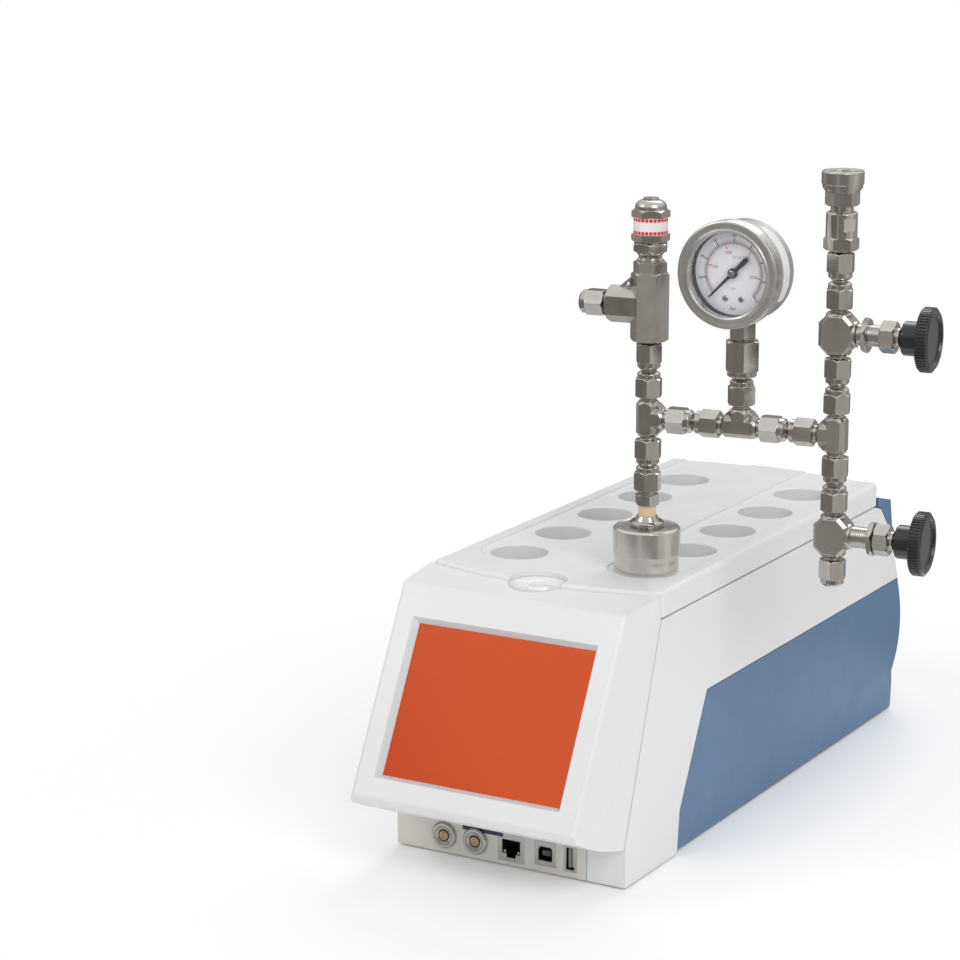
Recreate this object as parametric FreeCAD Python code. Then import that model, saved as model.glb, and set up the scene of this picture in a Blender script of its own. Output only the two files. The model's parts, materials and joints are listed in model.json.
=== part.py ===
import FreeCAD, Part
import math
import os

# Parallel pressure reactor: a ten-well reaction station with a touch display and
# one pressure vessel head in its front right well.
# Millimetres. X runs to the right, Y from the front to the rear, Z up.
# The origin lies on the bench, in the middle of the whole object's outline.

V = FreeCAD.Vector

# Station overall
HALF_WIDTH = 75.5
WALL = 3.0
FOOT_STANDOFF = 1.2
SEAM = 0.5
CORNER_RADIUS = 5.0
OUTLINE_FRONT_Y = 0.16
OUTLINE_REAR_Y = 470.52
REAR_BULGE = 10.0
CREASE_Z = 28.0
SKIRT_INSET = 2.6
BASE_FRONT_Y = 56.0

# Side outline of the rear wall: height and distance from the front lip
REAR_OUTLINE = [(28.0, 449.0), (46.0, 459.5), (66.0, 461.5), (91.0, 454.5),
                (111.0, 447.0), (130.0, 442.0), (156.0, 436.0)]
REAR_FOOT_Y = 451.0

# Console with the display
FACE_TILT = 27.6
FACE_FOOT_Z = 49.0
FACE_LENGTH = 125.7
CHEEK_FLARE = 3.0
CHEEK_DEPTH = 28.0
LIP_DROP = 5.0
CHIN_Y = 55.0
CHIN_Z = 24.6
CHIN_SAG = (20.0, 35.2)
CONSOLE_REAR_Y = 98.0
GROOVE = 1.0
FACE_EDGE_RADIUS = 2.5

# Display
DISPLAY_CENTRE_UP = 59.5
DISPLAY_SIZE = (115.0, 90.0)
DISPLAY_OPENING_SPLAY = 2.6
DISPLAY_RECESS = 5.0
WINDOW_BORDER = 2.5
WINDOW_THICKNESS = 1.5
MODULE_THICKNESS = 8.0

# Top cover
SEAM_Z = 149.5
COVER_SEAM_GAP = 1.0
COVER_TOP_Z = 164.7
COVER_TOP_WALL = 3.5
COVER_FRONT_SIDE_Y = 97.0
COVER_FRONT_BULGE = 12.5
COVER_REAR_SIDE_Y = 413.0
COVER_EDGE_RADIUS = 3.0
TRACK_DEPTH = 1.2
TRACK_WIDTH = 46.0

# Wells and heating cells
WELL_RADIUS = 17.2
WELL_SIDE_MARGIN = 33.0
WELL_RIM_RADIUS = 0.8
WELL_FIRST_Y = 143.0
WELL_PITCH = 55.0
WELL_ROWS = 5
COLLAR_WALL = 3.0
CELL_RADIUS = 23.0
CELL_BORE_RADIUS = 17.0
CELL_FOOT_Z = 62.0
CELL_FLOOR = 12.0
HEATER_GROOVE_DEPTH = 1.5

# Status light
STATUS_RADIUS = 17.0
STATUS_Y = 89.0
STATUS_DEPTH = 3.2

# Connector plate
PLATE_THICKNESS = 1.5
PLATE_CLEARANCE = 0.3
PLATE_END_MARGIN = 6.8
PLATE_SEAT = 2.2
PROBE_X = (-43.2, -22.3)
PROBE_Z = 12.0
PROBE_RING_RADIUS = 8.0
PROBE_BARREL_RADIUS = 6.6
NETWORK_X = 1.4
NETWORK_SIZE = (17.0, 17.6)
USB_B_X = 23.9
USB_B_SIZE = (13.6, 14.6)
USB_A_X = 40.2
USB_A_SIZE = (8.0, 15.6)
SOCKET_Z = 12.4
SOCKET_DEPTH = 14.0

# Base tray, feet and inner pieces
TRAY_Z = 1.8
TRAY_THICKNESS = 1.6
TRAY_FLANGE = 14.0
FOOT_RADIUS = 8.0
FOOT_INSET = 16.0
BOARD_THICKNESS = 1.6
INLET_SIZE = (50.0, 28.0)
INLET_Z = 62.0
INLET_RECESS = 3.0
INLET_FRAME_DEPTH = 14.0
AXLE_RADIUS = 1.8
AXLE_LENGTH = 13.4

# Rear vents
VENT_SLOT = (46.0, 3.0)
VENT_PITCH = 6.5
VENT_ROWS = 6
VENT_FOOT_Z = 92.0
VENT_X = 32.0

# Reactor head
HEAD_RADIUS = 19.6
HEAD_SKIRT_RADIUS = 18.9
HEAD_SKIRT_HEIGHT = 11.5
HEAD_HEIGHT = 27.0
VESSEL_RADIUS = 16.7
VESSEL_WALL = 3.0
VESSEL_FLOOR_GAP = 0.3
VESSEL_NECK = 16.5
SEAL_THICKNESS = 1.0
RING_STEPS = ((10.0, 2.4), (7.2, 2.9))
RING_FOOT = (8.4, 1.2)
COLLAR_RADIUS = 5.1
COLLAR_HEIGHT = 6.4
CONNECTOR_HEX = 12.7
CONNECTOR_HEX_HEIGHT = 6.5
CONNECTOR_STEM_RADIUS = 3.2
CONNECTOR_NECK = 2.0

# Tube fittings for 6.35 mm tube
TUBE_RADIUS = 3.175
TUBE_BORE = 2.2
TUBE_FIT = 0.1
NUT_HEX = 14.3
NUT_LENGTH = 15.0
NUT_HEX_LENGTH = 11.0
NUT_COLLAR_RADIUS = 6.7
NUT_GAP = 0.2
END_NECK_RADIUS = 5.6
END_NECK_LENGTH = 8.0
END_RELIEF_RADIUS = 4.6
END_TUBE_STOP = 2.6
TUBE_GAP = 1.2
TEE_SHOULDER = 10.4
TEE_NECK = 2.0
TEE_BAR = 12.4
TEE_CHAMFER = 2.6
TEE_GUSSET = 3.0
MANIFOLD_Z = 254.5
MANIFOLD_YAW = 6.0

# Needle valves
VALVE_SHOULDER = 12.2
VALVE_NECK = 1.8
VALVE_BODY = (19.8, 15.4, 23.4)
VALVE_CHAMFER = 5.2
VALVE_RIM_CHAMFER = 1.8
VALVE_ARM_RADIUS = 7.4
BONNET_RADIUS = 6.0
BONNET_COLLAR_RADIUS = 7.4
BONNET_END = 26.0
BONNET_NUT_HEX = 16.2
BONNET_NUT = (25.0, 33.6)
GLAND_RADIUS = 5.5
GLAND_END = 36.2
PANEL_NUT_HEX = 18.6
PANEL_NUT_THICKNESS = 3.0
PANEL_NUT_START = {"lower": 21.6, "upper": 14.8}
STEM_RADIUS = 2.5
STEM_FIT = 0.06
STEM_TIP = 4.0
HANDLE_START = 37.5
HUB_RADIUS = 9.6
HUB_LENGTH = 10.5
WHEEL_RADIUS = 18.2
WHEEL_THICKNESS = 7.5
WHEEL_RIM_RADIUS = 16.2
WHEEL_DISH_RADIUS = 14.4
WHEEL_DISH_DEPTH = 1.3
KNURL_COUNT = 60
KNURL_DEPTH = 0.5
SET_SCREW_RADIUS = 2.1

# Relief valve, heights above the foot of its body
RELIEF_FOOT_NECK = 1.4
RELIEF_HEX = 19.6
RELIEF_PORT_HEX = 18.9
RELIEF_BODY_HEIGHT = 39.6
RELIEF_PORT_UP = 20.1
RELIEF_PORT_REACH = 24.6
RELIEF_PORT_NECK = 2.2
RELIEF_UPPER_HEX = 17.2
RELIEF_UPPER_HEIGHT = 6.6
RELIEF_NECK_RADIUS = 7.6
RELIEF_NECK_HEIGHT = 5.5
BONNET_HEX = 19.3
BONNET_HEIGHT = 24.1
LOCK_NUT_HEX = 18.7
LOCK_NUT_HEIGHT = 5.1
LOCK_GROOVE = 0.6
BAND_RADIUS = 9.75
BAND_SPAN = (10.1, 19.7)
CAP_RADIUS = 9.1
CAP_HEIGHT = 6.6
WEB_THICKNESS = 3.0
WEB_HOLE_RADIUS = 1.2

# Gauge, depths behind the stem axis
GAUGE_LIP = 1.7
GAUGE_UP = 90.0
GAUGE_FRONT = -23.0
GAUGE_BEZEL_DEPTH = 9.0
GAUGE_BACK = 7.0
GAUGE_CASE_RADIUS = 28.8
GAUGE_CASE_WALL = 1.6
GAUGE_RIM_WIDTH = 5.0
GAUGE_THREAD_RADIUS = 5.0
GAUGE_WINDOW_FRONT = -19.0
GAUGE_DIAL_FRONT = -13.4
GAUGE_POINTER_FRONT = -15.6
ADAPTER_HEX = 17.8
ADAPTER_HEIGHT = 21.0
GAUGE_STEM_HEX = 13.8
POINTER_REACH = 20.5
POINTER_TAIL = 12.5
POINTER_ZERO = -135.0
DIAL_SCREW = (4.8, 14.6)

# Quick coupler, heights above its foot
COUPLER_NECK_SHOWN = 1.4
COUPLER_HEX = 17.3
COUPLER_HEX_HEIGHT = 7.2
COUPLER_RADIUS = 8.8
COUPLER_SHOULDER = 21.2
COUPLER_NECK_RADIUS = 6.4
COUPLER_HEAD = (36.2, 42.6)
COUPLER_HEAD_RADIUS = 9.6
COUPLER_SOCKET_RADIUS = 4.8
COUPLER_SOCKET_DEPTH = 12.0
COUPLER_FLAT = 8.0
SLEEVE_FOOT = 24.7
SLEEVE_HEX = 16.8
SLEEVE_HEX_HEIGHT = 7.6
SLEEVE_RIM_RADIUS = 11.8
SLEEVE_TOP = 44.2
SLEEVE_FIT = 0.08

# Places that follow from the sizes above
FACE_HALF_WIDTH = HALF_WIDTH - CHEEK_FLARE
WELL_X = HALF_WIDTH - WELL_SIDE_MARGIN
PLATE_RIGHT_X = USB_A_X + USB_A_SIZE[0] / 2 + PLATE_END_MARGIN
PLATE_TOP_Z = CHIN_Z - SEAM
TRACK_Z = COVER_TOP_Z - TRACK_DEPTH
VESSEL_FOOT_Z = CELL_FOOT_Z + CELL_FLOOR + VESSEL_FLOOR_GAP
GAUGE_RADIUS = GAUGE_CASE_RADIUS + GAUGE_LIP
GAUGE_OPENING_RADIUS = GAUGE_CASE_RADIUS - GAUGE_RIM_WIDTH
COVER_FOOT_Z = SEAM_Z + COVER_SEAM_GAP / 2
SHELL_TOP_Z = SEAM_Z - COVER_SEAM_GAP / 2
END_LENGTH = NUT_GAP + NUT_LENGTH
TEE_REACH = TEE_SHOULDER + TEE_NECK + END_LENGTH
VALVE_REACH = VALVE_SHOULDER + VALVE_NECK + END_LENGTH
TEE_PITCH = 2 * TEE_REACH + TUBE_GAP
VALVE_RISE = TEE_REACH + TUBE_GAP + VALVE_REACH
RELIEF_FOOT_Z = MANIFOLD_Z + TEE_REACH + TUBE_GAP + END_LENGTH + RELIEF_FOOT_NECK
COUPLER_FOOT_Z = (MANIFOLD_Z + VALVE_RISE + VALVE_REACH + TUBE_GAP + END_LENGTH
                  + COUPLER_NECK_SHOWN)
HANDLE_END = HANDLE_START + HUB_LENGTH + WHEEL_THICKNESS
YAW = math.radians(MANIFOLD_YAW)
REACH_RIGHT = (WELL_X + (2 * TEE_PITCH + HANDLE_END) * math.cos(YAW)
               + WHEEL_RIM_RADIUS * math.sin(YAW))
REACH_REAR = max(y for z, y in REAR_OUTLINE) + REAR_BULGE
ORIGIN_X = (REACH_RIGHT - HALF_WIDTH) / 2
ORIGIN_Y = (OUTLINE_FRONT_Y + OUTLINE_REAR_Y) / 2

ALONG_X = V(1, 0, 0)
ALONG_Y = V(0, 1, 0)
ALONG_Z = V(0, 0, 1)
HERE = V(0, 0, 0)


# Basic forms

def fused(shapes):
    first = shapes[0]
    if len(shapes) == 1:
        return first
    return first.fuse(shapes[1:]).removeSplitter()


def box(x0, x1, y0, y1, z0, z1):
    return Part.makeBox(x1 - x0, y1 - y0, z1 - z0, V(x0, y0, z0))


def rod(radius, z0, z1, x=0.0, y=0.0):
    return Part.makeCylinder(radius, z1 - z0, V(x, y, z0))


def tube(outer, inner, z0, z1, x=0.0, y=0.0):
    return rod(outer, z0, z1, x, y).cut(rod(inner, z0 - 1, z1 + 1, x, y))


def turned(outline):
    points = [V(r, 0, z) for r, z in outline]
    face = Part.Face(Part.makePolygon(points + [points[0]]))
    return face.revolve(HERE, ALONG_Z, 360)


def hexagon(across_flats, z0, z1, turn=0.0):
    corner = across_flats / math.sqrt(3)
    points = [V(corner * math.cos(math.radians(60 * i + turn)),
                corner * math.sin(math.radians(60 * i + turn)), z0) for i in range(6)]
    return Part.Face(Part.makePolygon(points + [points[0]])).extrude(V(0, 0, z1 - z0))


def chamfered_hexagon(across_flats, z0, z1, turn=0.0, low=True, high=True):
    corner = across_flats / math.sqrt(3)
    flat = across_flats / 2
    drop = (corner - flat) * 0.7
    outline = [(0, z0), (flat if low else corner, z0), (corner, z0 + (drop if low else 0.01)),
               (corner, z1 - (drop if high else 0.01)), (flat if high else corner, z1), (0, z1)]
    return hexagon(across_flats, z0, z1, turn).common(turned(outline))


def side_prism(outline, half_width):
    points = [V(-half_width, y, z) for y, z in outline]
    face = Part.Face(Part.makePolygon(points + [points[0]]))
    return face.extrude(V(2 * half_width, 0, 0))


def pointed(shape, direction):
    turned_shape = shape.copy()
    turns = {"up": (ALONG_X, 0), "down": (ALONG_X, 180),
             "right": (ALONG_Y, 90), "left": (ALONG_Y, -90)}
    axis, angle = turns[direction]
    turned_shape.rotate(HERE, axis, angle)
    return turned_shape


def moved(shape, x, y, z):
    placed = shape.copy()
    placed.translate(V(x, y, z))
    return placed


# Station outline

def end_arc(half, side_y, bulge, radius, facing):
    """Tangent points of a bulged end with rounded corners; facing is 1 to the rear, -1 to the front."""
    sweep = (half ** 2 + bulge ** 2) / (2 * bulge)
    centre_y = side_y + facing * (bulge - sweep)
    corner_y = centre_y + facing * math.sqrt((sweep - radius) ** 2 - (half - radius) ** 2)
    corner = V(half - radius, corner_y, 0)
    outward = (corner - V(0, centre_y, 0)).normalize()
    on_side = V(half, corner_y, 0)
    on_arc = corner + outward * radius
    middle = corner + (outward + V(1, 0, 0)).normalize() * radius
    return on_side, middle, on_arc, V(0, side_y + facing * bulge, 0)


def mirrored(point):
    return V(-point.x, point.y, point.z)


def end_edges(half, side_y, bulge, radius, facing):
    on_side, middle, on_arc, tip = end_arc(half, side_y, bulge, radius, facing)
    return [Part.Arc(on_side, middle, on_arc).toShape(),
            Part.Arc(on_arc, tip, mirrored(on_arc)).toShape(),
            Part.Arc(mirrored(on_arc), mirrored(middle), mirrored(on_side)).toShape()], on_side


def plan_wire(half, front_y, front_bulge, rear_y, rear_bulge, radius, z):
    rear, rear_point = end_edges(half, rear_y, rear_bulge, radius, 1)
    if front_bulge:
        front, front_point = end_edges(half, front_y, front_bulge, radius, -1)
    else:
        front_point = V(half, front_y, 0)
        front = [Part.LineSegment(front_point, mirrored(front_point)).toShape()]
    right = Part.LineSegment(front_point, rear_point).toShape()
    left = Part.LineSegment(mirrored(rear_point), mirrored(front_point)).toShape()
    wire = Part.Wire(Part.__sortEdges__(front + [left] + rear + [right]))
    wire.translate(V(0, 0, z))
    return wire


def station_hull(inset):
    radius = max(CORNER_RADIUS - inset, 1.5)
    front = BASE_FRONT_Y + inset
    half = HALF_WIDTH - inset

    def section(z, side_y):
        return plan_wire(half, front, 0, side_y - inset, REAR_BULGE, radius, z)

    upper = Part.makeLoft([section(z, y) for z, y in REAR_OUTLINE], True)
    foot_z = FOOT_STANDOFF if inset == 0 else -1.0
    lower = Part.makeLoft([section(foot_z, REAR_FOOT_Y), section(*REAR_OUTLINE[0])], True, True)
    return upper.fuse(lower)


def groove_y(z):
    return CHIN_Y + (z - CHIN_Z) * (CONSOLE_REAR_Y - CHIN_Y) / (SEAM_Z - CHIN_Z)


def face_point(up, depth=0.0):
    tilt = math.radians(FACE_TILT)
    return (up * math.sin(tilt) + depth * math.cos(tilt),
            FACE_FOOT_Z + up * math.cos(tilt) - depth * math.sin(tilt))


def on_face(shape):
    placed = shape.copy()
    placed.rotate(HERE, ALONG_X, -FACE_TILT)
    placed.translate(V(0, 0, FACE_FOOT_Z))
    return placed


# The lines where the white shell meets the coloured rear casing, seen from the side
SPLIT_FOOT_Y = 122.0
SPLIT_KNEE = (125.0, 27.0)
SPLIT_CORNER = (159.0, 91.7)
SPLIT_REAR = [(452.0, 91.7), (444.0, 111.0), (437.5, 122.0), (430.0, 134.0),
              (419.0, 146.0), (409.0, SHELL_TOP_Z)]
LEDGE = [(410.0, 155.6), (440.0, 147.8), (480.0, 146.5)]


def white_region():
    outline = [(BASE_FRONT_Y - 1, FOOT_STANDOFF), (SPLIT_FOOT_Y, FOOT_STANDOFF), SPLIT_KNEE, SPLIT_CORNER]
    outline += SPLIT_REAR
    outline += [(groove_y(SHELL_TOP_Z), SHELL_TOP_Z), (groove_y(CHIN_Z), CHIN_Z - SEAM),
                (BASE_FRONT_Y - 1, CHIN_Z - SEAM)]
    return side_prism(outline, HALF_WIDTH + 5)


def coloured_region():
    outline = [(SPLIT_FOOT_Y + SEAM, FOOT_STANDOFF), (SPLIT_KNEE[0] + SEAM, SPLIT_KNEE[1]),
               (SPLIT_CORNER[0] + SEAM, SPLIT_CORNER[1] - SEAM)]
    outline += [(y + SEAM, z - SEAM) if i == 0 else (y + SEAM, z + SEAM)
                for i, (y, z) in enumerate(SPLIT_REAR)]
    outline += LEDGE + [(LEDGE[-1][0], FOOT_STANDOFF)]
    return side_prism(outline, HALF_WIDTH + 5)


def cover_solid(inset, z0, z1):
    wire = plan_wire(HALF_WIDTH - inset, COVER_FRONT_SIDE_Y + inset, COVER_FRONT_BULGE,
                     COVER_REAR_SIDE_Y - inset, REAR_BULGE, max(CORNER_RADIUS - inset, 1.5), z0)
    return Part.Face(wire).extrude(V(0, 0, z1 - z0))


def well_places():
    return [(side * WELL_X, WELL_FIRST_Y + row * WELL_PITCH)
            for row in range(WELL_ROWS) for side in (-1, 1)]


# Station pieces

def make_body_shell():
    region = white_region()
    shell = station_hull(0).cut(station_hull(WALL)).common(region)
    flange = station_hull(WALL - 0.5).cut(station_hull(WALL + 7))
    flange = flange.common(box(-HALF_WIDTH - 5, HALF_WIDTH + 5, 0, REACH_REAR + 5, SHELL_TOP_Z - 3, SHELL_TOP_Z)).common(region)
    lean = GROOVE + 4
    bulkhead = side_prism([(groove_y(CHIN_Z) + lean, CHIN_Z - SEAM),
                           (groove_y(CHIN_Z) + lean + WALL, CHIN_Z - SEAM),
                           (groove_y(SHELL_TOP_Z) + lean + WALL, SHELL_TOP_Z),
                           (groove_y(SHELL_TOP_Z) + lean, SHELL_TOP_Z)], HALF_WIDTH - WALL + 0.5)
    cable_window = box(-HALF_WIDTH * 0.66, HALF_WIDTH * 0.66, 40, 110, 60, 115)
    shell = fused([shell, flange, bulkhead.cut(cable_window)])
    rebate = box(-HALF_WIDTH - 5, PLATE_RIGHT_X, BASE_FRONT_Y - 5, BASE_FRONT_Y + PLATE_THICKNESS, -5, PLATE_TOP_Z + 1)
    opening = box(-HALF_WIDTH + WALL + PLATE_SEAT, PLATE_RIGHT_X - PLATE_SEAT, BASE_FRONT_Y - 5,
                  BASE_FRONT_Y + WALL + 3, FOOT_STANDOFF + PLATE_SEAT, PLATE_TOP_Z - PLATE_SEAT)
    return shell.cut(rebate.fuse(opening))


def make_rear_casing():
    outer = station_hull(0)
    inner = station_hull(WALL)
    lid = [(y, z) for y, z in LEDGE] + [(y, z - WALL) for y, z in reversed(LEDGE)]
    shell = fused([outer.cut(inner), outer.common(side_prism(lid, HALF_WIDTH + 5))])
    shell = shell.common(coloured_region())
    shell = shell.cut(cover_solid(-GROOVE, COVER_FOOT_Z - 1.0, COVER_TOP_Z + 5))
    for side in (-1, 1):
        slope = [V(side * HALF_WIDTH, 100, CREASE_Z), V(side * (HALF_WIDTH - SKIRT_INSET), 100, 0),
                 V(side * (HALF_WIDTH + 5), 100, 0), V(side * (HALF_WIDTH + 5), 100, CREASE_Z)]
        shell = shell.cut(Part.Face(Part.makePolygon(slope + [slope[0]])).extrude(V(0, 400, 0)))
    rear = REACH_REAR
    width, height = INLET_SIZE
    frame_front = rear - INLET_FRAME_DEPTH
    frame = box(-width / 2 - 2, width / 2 + 2, frame_front, rear, INLET_Z - height / 2 - 2, INLET_Z + height / 2 + 2)
    shell = fused([shell, frame.common(outer)])
    shell = shell.cut(box(-width / 2, width / 2, frame_front - 1, rear + 5, INLET_Z - height / 2, INLET_Z + height / 2))
    slots = []
    for side in (-1, 1):
        for row in range(VENT_ROWS):
            x = side * VENT_X
            z = VENT_FOOT_Z + row * VENT_PITCH
            slots.append(box(x - VENT_SLOT[0] / 2, x + VENT_SLOT[0] / 2, rear - 50, rear + 5, z, z + VENT_SLOT[1]))
    return shell.cut(Part.makeCompound(slots))


def console_outline(inset):
    tilt = math.radians(FACE_TILT)
    top = face_point(FACE_LENGTH)
    lip = (LIP_DROP * 0.25, FACE_FOOT_Z - LIP_DROP)
    chin = V(0, CHIN_Y, CHIN_Z)
    edges = [Part.Arc(chin, V(0, CHIN_SAG[0], CHIN_SAG[1]), V(0, lip[0], lip[1])).toShape(),
             Part.LineSegment(V(0, lip[0], lip[1]), V(0, 0, FACE_FOOT_Z)).toShape(),
             Part.LineSegment(V(0, 0, FACE_FOOT_Z), V(0, top[0], top[1])).toShape(),
             Part.LineSegment(V(0, top[0], top[1]), V(0, CONSOLE_REAR_Y, COVER_TOP_Z - 0.8)).toShape(),
             Part.LineSegment(V(0, CONSOLE_REAR_Y, COVER_TOP_Z - 0.8), V(0, CONSOLE_REAR_Y, SEAM_Z)).toShape(),
             Part.LineSegment(V(0, CONSOLE_REAR_Y, SEAM_Z), chin).toShape()]
    wire = Part.Wire(Part.__sortEdges__(edges))
    if inset:
        wire = wire.makeOffset2D(-inset)
    return wire, tilt


def console_solid(half_width, inset):
    wire, tilt = console_outline(inset)
    wire.translate(V(-half_width, 0, 0))
    return Part.Face(wire).extrude(V(2 * half_width, 0, 0))


def cheek_wedges():
    reach = 12.0
    flare = (HALF_WIDTH - FACE_HALF_WIDTH) / CHEEK_DEPTH
    wedges = []
    for side in (-1, 1):
        outline = [V(side * (FACE_HALF_WIDTH - reach * flare), -reach, -60), V(side * HALF_WIDTH, CHEEK_DEPTH, -60),
                   V(side * (HALF_WIDTH + reach), CHEEK_DEPTH, -60), V(side * (HALF_WIDTH + reach), -reach, -60)]
        wedge = Part.Face(Part.makePolygon(outline + [outline[0]])).extrude(V(0, 0, 260))
        wedges.append(on_face(wedge))
    return Part.makeCompound(wedges)


def display_frame(width, height, depth0, depth1):
    return box(-width / 2, width / 2, depth0, depth1,
               DISPLAY_CENTRE_UP - height / 2, DISPLAY_CENTRE_UP + height / 2)


def display_recess():
    width, height = DISPLAY_SIZE
    splay = DISPLAY_OPENING_SPLAY

    def rectangle(grow, depth):
        x = width / 2 + grow
        low = DISPLAY_CENTRE_UP - height / 2 - grow
        high = DISPLAY_CENTRE_UP + height / 2 + grow
        points = [V(-x, depth, low), V(x, depth, low), V(x, depth, high), V(-x, depth, high)]
        return Part.makePolygon(points + [points[0]])

    start = -1.0
    growth = splay * (DISPLAY_RECESS - start) / DISPLAY_RECESS
    return on_face(Part.makeLoft([rectangle(growth, start), rectangle(0, DISPLAY_RECESS)], True, True))


def status_pocket(radius, z0):
    return rod(radius, z0, COVER_TOP_Z + 5, 0, STATUS_Y)


def make_front_bezel():
    outer = console_solid(HALF_WIDTH, 0).cut(cheek_wedges())
    rims = []
    for edge in outer.Edges:
        centre = edge.CenterOfMass
        along_face = abs(centre.y - face_point(FACE_LENGTH / 2)[0]) < 2 and abs(abs(centre.x) - FACE_HALF_WIDTH) < 2
        along_lip = abs(centre.z - FACE_FOOT_Z) < 0.5 and abs(centre.y) < 0.5
        along_brow = abs(centre.z - face_point(FACE_LENGTH)[1]) < 0.5 and abs(centre.x) < 1
        if along_face or along_lip or along_brow:
            rims.append(edge)
    outer = outer.makeFillet(FACE_EDGE_RADIUS, rims)
    cavity = console_solid(FACE_HALF_WIDTH - WALL, WALL)
    cavity = fused([cavity, moved(cavity, 0, WALL + 2, 0).common(
        side_prism([(20, 25), (CHIN_Y + 5, CHIN_Z + 4), (CONSOLE_REAR_Y + 10, SEAM_Z),
                    (CONSOLE_REAR_Y + 10, SEAM_Z + 8), (60, SEAM_Z + 8)], HALF_WIDTH))])
    shell = outer.cut(cavity)
    width, height = DISPLAY_SIZE
    seat = WINDOW_BORDER + 3.0
    frame = on_face(display_frame(width + 2 * seat + 4, height + 2 * seat + 4, WALL - 0.5,
                                  DISPLAY_RECESS + WINDOW_THICKNESS + 3))
    shell = fused([shell, frame.common(outer)])
    shell = shell.cut(display_recess())
    glass_space = display_frame(width + 2 * WINDOW_BORDER + 0.4, height + 2 * WINDOW_BORDER + 0.4,
                                DISPLAY_RECESS, DISPLAY_RECESS + 20)
    shell = shell.cut(on_face(glass_space))
    behind_groove = side_prism([(CHIN_Y - GROOVE, CHIN_Z - 20), (CHIN_Y - GROOVE, CHIN_Z),
                                (CONSOLE_REAR_Y - GROOVE, SEAM_Z), (CONSOLE_REAR_Y - GROOVE, COVER_TOP_Z + 9),
                                (CONSOLE_REAR_Y + 40, COVER_TOP_Z + 9), (CONSOLE_REAR_Y + 40, CHIN_Z - 20)],
                               HALF_WIDTH + 5)
    shell = shell.cut(behind_groove)
    shell = shell.cut(cover_solid(-GROOVE, SEAM_Z - 6, COVER_TOP_Z + 9))
    return shell.cut(status_pocket(STATUS_RADIUS, SEAM_Z))


def make_display_window():
    width, height = DISPLAY_SIZE
    return on_face(display_frame(width + 2 * WINDOW_BORDER, height + 2 * WINDOW_BORDER,
                                 DISPLAY_RECESS, DISPLAY_RECESS + WINDOW_THICKNESS))


def make_display_module():
    width, height = DISPLAY_SIZE
    front = DISPLAY_RECESS + WINDOW_THICKNESS
    can = display_frame(width + 2 * WINDOW_BORDER, height + 2 * WINDOW_BORDER, front, front + MODULE_THICKNESS)
    board = display_frame(width - 14, height - 12, front + MODULE_THICKNESS, front + MODULE_THICKNESS + 1.6)
    return on_face(fused([can, board]))


def make_top_cover():
    body = cover_solid(0, COVER_FOOT_Z, COVER_TOP_Z)
    rim = [edge for edge in body.Edges if abs(edge.CenterOfMass.z - COVER_TOP_Z) < 0.01]
    body = body.makeFillet(COVER_EDGE_RADIUS, rim)
    body = body.cut(cover_solid(WALL, COVER_FOOT_Z - 1, COVER_TOP_Z - COVER_TOP_WALL))
    collars = [rod(WELL_RADIUS + COLLAR_WALL, COVER_FOOT_Z, COVER_TOP_Z - COVER_TOP_WALL + 0.5, x, y)
               for x, y in well_places()]
    body = fused([body] + collars)
    half = TRACK_WIDTH / 2
    for side in (-1, 1):
        x = side * WELL_X
        track = fused([rod(half, TRACK_Z, COVER_TOP_Z + 5, x, WELL_FIRST_Y),
                       box(x - half, x + half, WELL_FIRST_Y, REACH_REAR, TRACK_Z, COVER_TOP_Z + 5)])
        foot = [edge for edge in track.Edges if abs(edge.CenterOfMass.z - TRACK_Z) < 0.01]
        body = body.cut(track.makeFillet(TRACK_DEPTH * 0.9, foot))
    rim = WELL_RADIUS + WELL_RIM_RADIUS
    bores = []
    for x, y in well_places():
        mouth = turned([(0, COVER_FOOT_Z - 5), (WELL_RADIUS, COVER_FOOT_Z - 5), (WELL_RADIUS, TRACK_Z - WELL_RIM_RADIUS),
                        (WELL_RADIUS + WELL_RIM_RADIUS * 0.3, TRACK_Z - WELL_RIM_RADIUS * 0.3), (rim, TRACK_Z),
                        (rim, COVER_TOP_Z + 5), (0, COVER_TOP_Z + 5)])
        bores.append(moved(mouth, x, y, 0))
    body = body.cut(Part.makeCompound(bores))
    return body.cut(status_pocket(STATUS_RADIUS, COVER_FOOT_Z - 5))


def make_status_window():
    top = COVER_TOP_Z - 0.8 - STATUS_DEPTH
    radius = STATUS_RADIUS - 0.2
    outline = [(0, top - 4), (radius, top - 4), (radius, top + 1.6), (radius - 1.6, top + 1.6),
               (radius - 3.2, top + 0.2), (6.5, top - 0.4), (5.2, top + 0.5), (0, top + 0.9)]
    lens = moved(turned(outline), 0, STATUS_Y, 0)
    front_half = box(-30, 30, 0, STATUS_Y + 40, top - 5, top + 5)
    return lens.common(front_half)


def make_connector_plate():
    plate = box(-HALF_WIDTH, PLATE_RIGHT_X - PLATE_CLEARANCE, BASE_FRONT_Y, BASE_FRONT_Y + PLATE_THICKNESS,
                FOOT_STANDOFF, PLATE_TOP_Z)
    holes = []
    for x in PROBE_X:
        holes.append(Part.makeCylinder(PROBE_BARREL_RADIUS + 0.1, 20, V(x, BASE_FRONT_Y - 5, PROBE_Z), ALONG_Y))
    for x, size in ((NETWORK_X, NETWORK_SIZE), (USB_B_X, USB_B_SIZE), (USB_A_X, USB_A_SIZE)):
        width, height = size
        holes.append(box(x - width / 2 - 0.1, x + width / 2 + 0.1, BASE_FRONT_Y - 5, BASE_FRONT_Y + 15,
                         SOCKET_Z - height / 2 - 0.1, SOCKET_Z + height / 2 + 0.1))
    return plate.cut(Part.makeCompound(holes))


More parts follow.
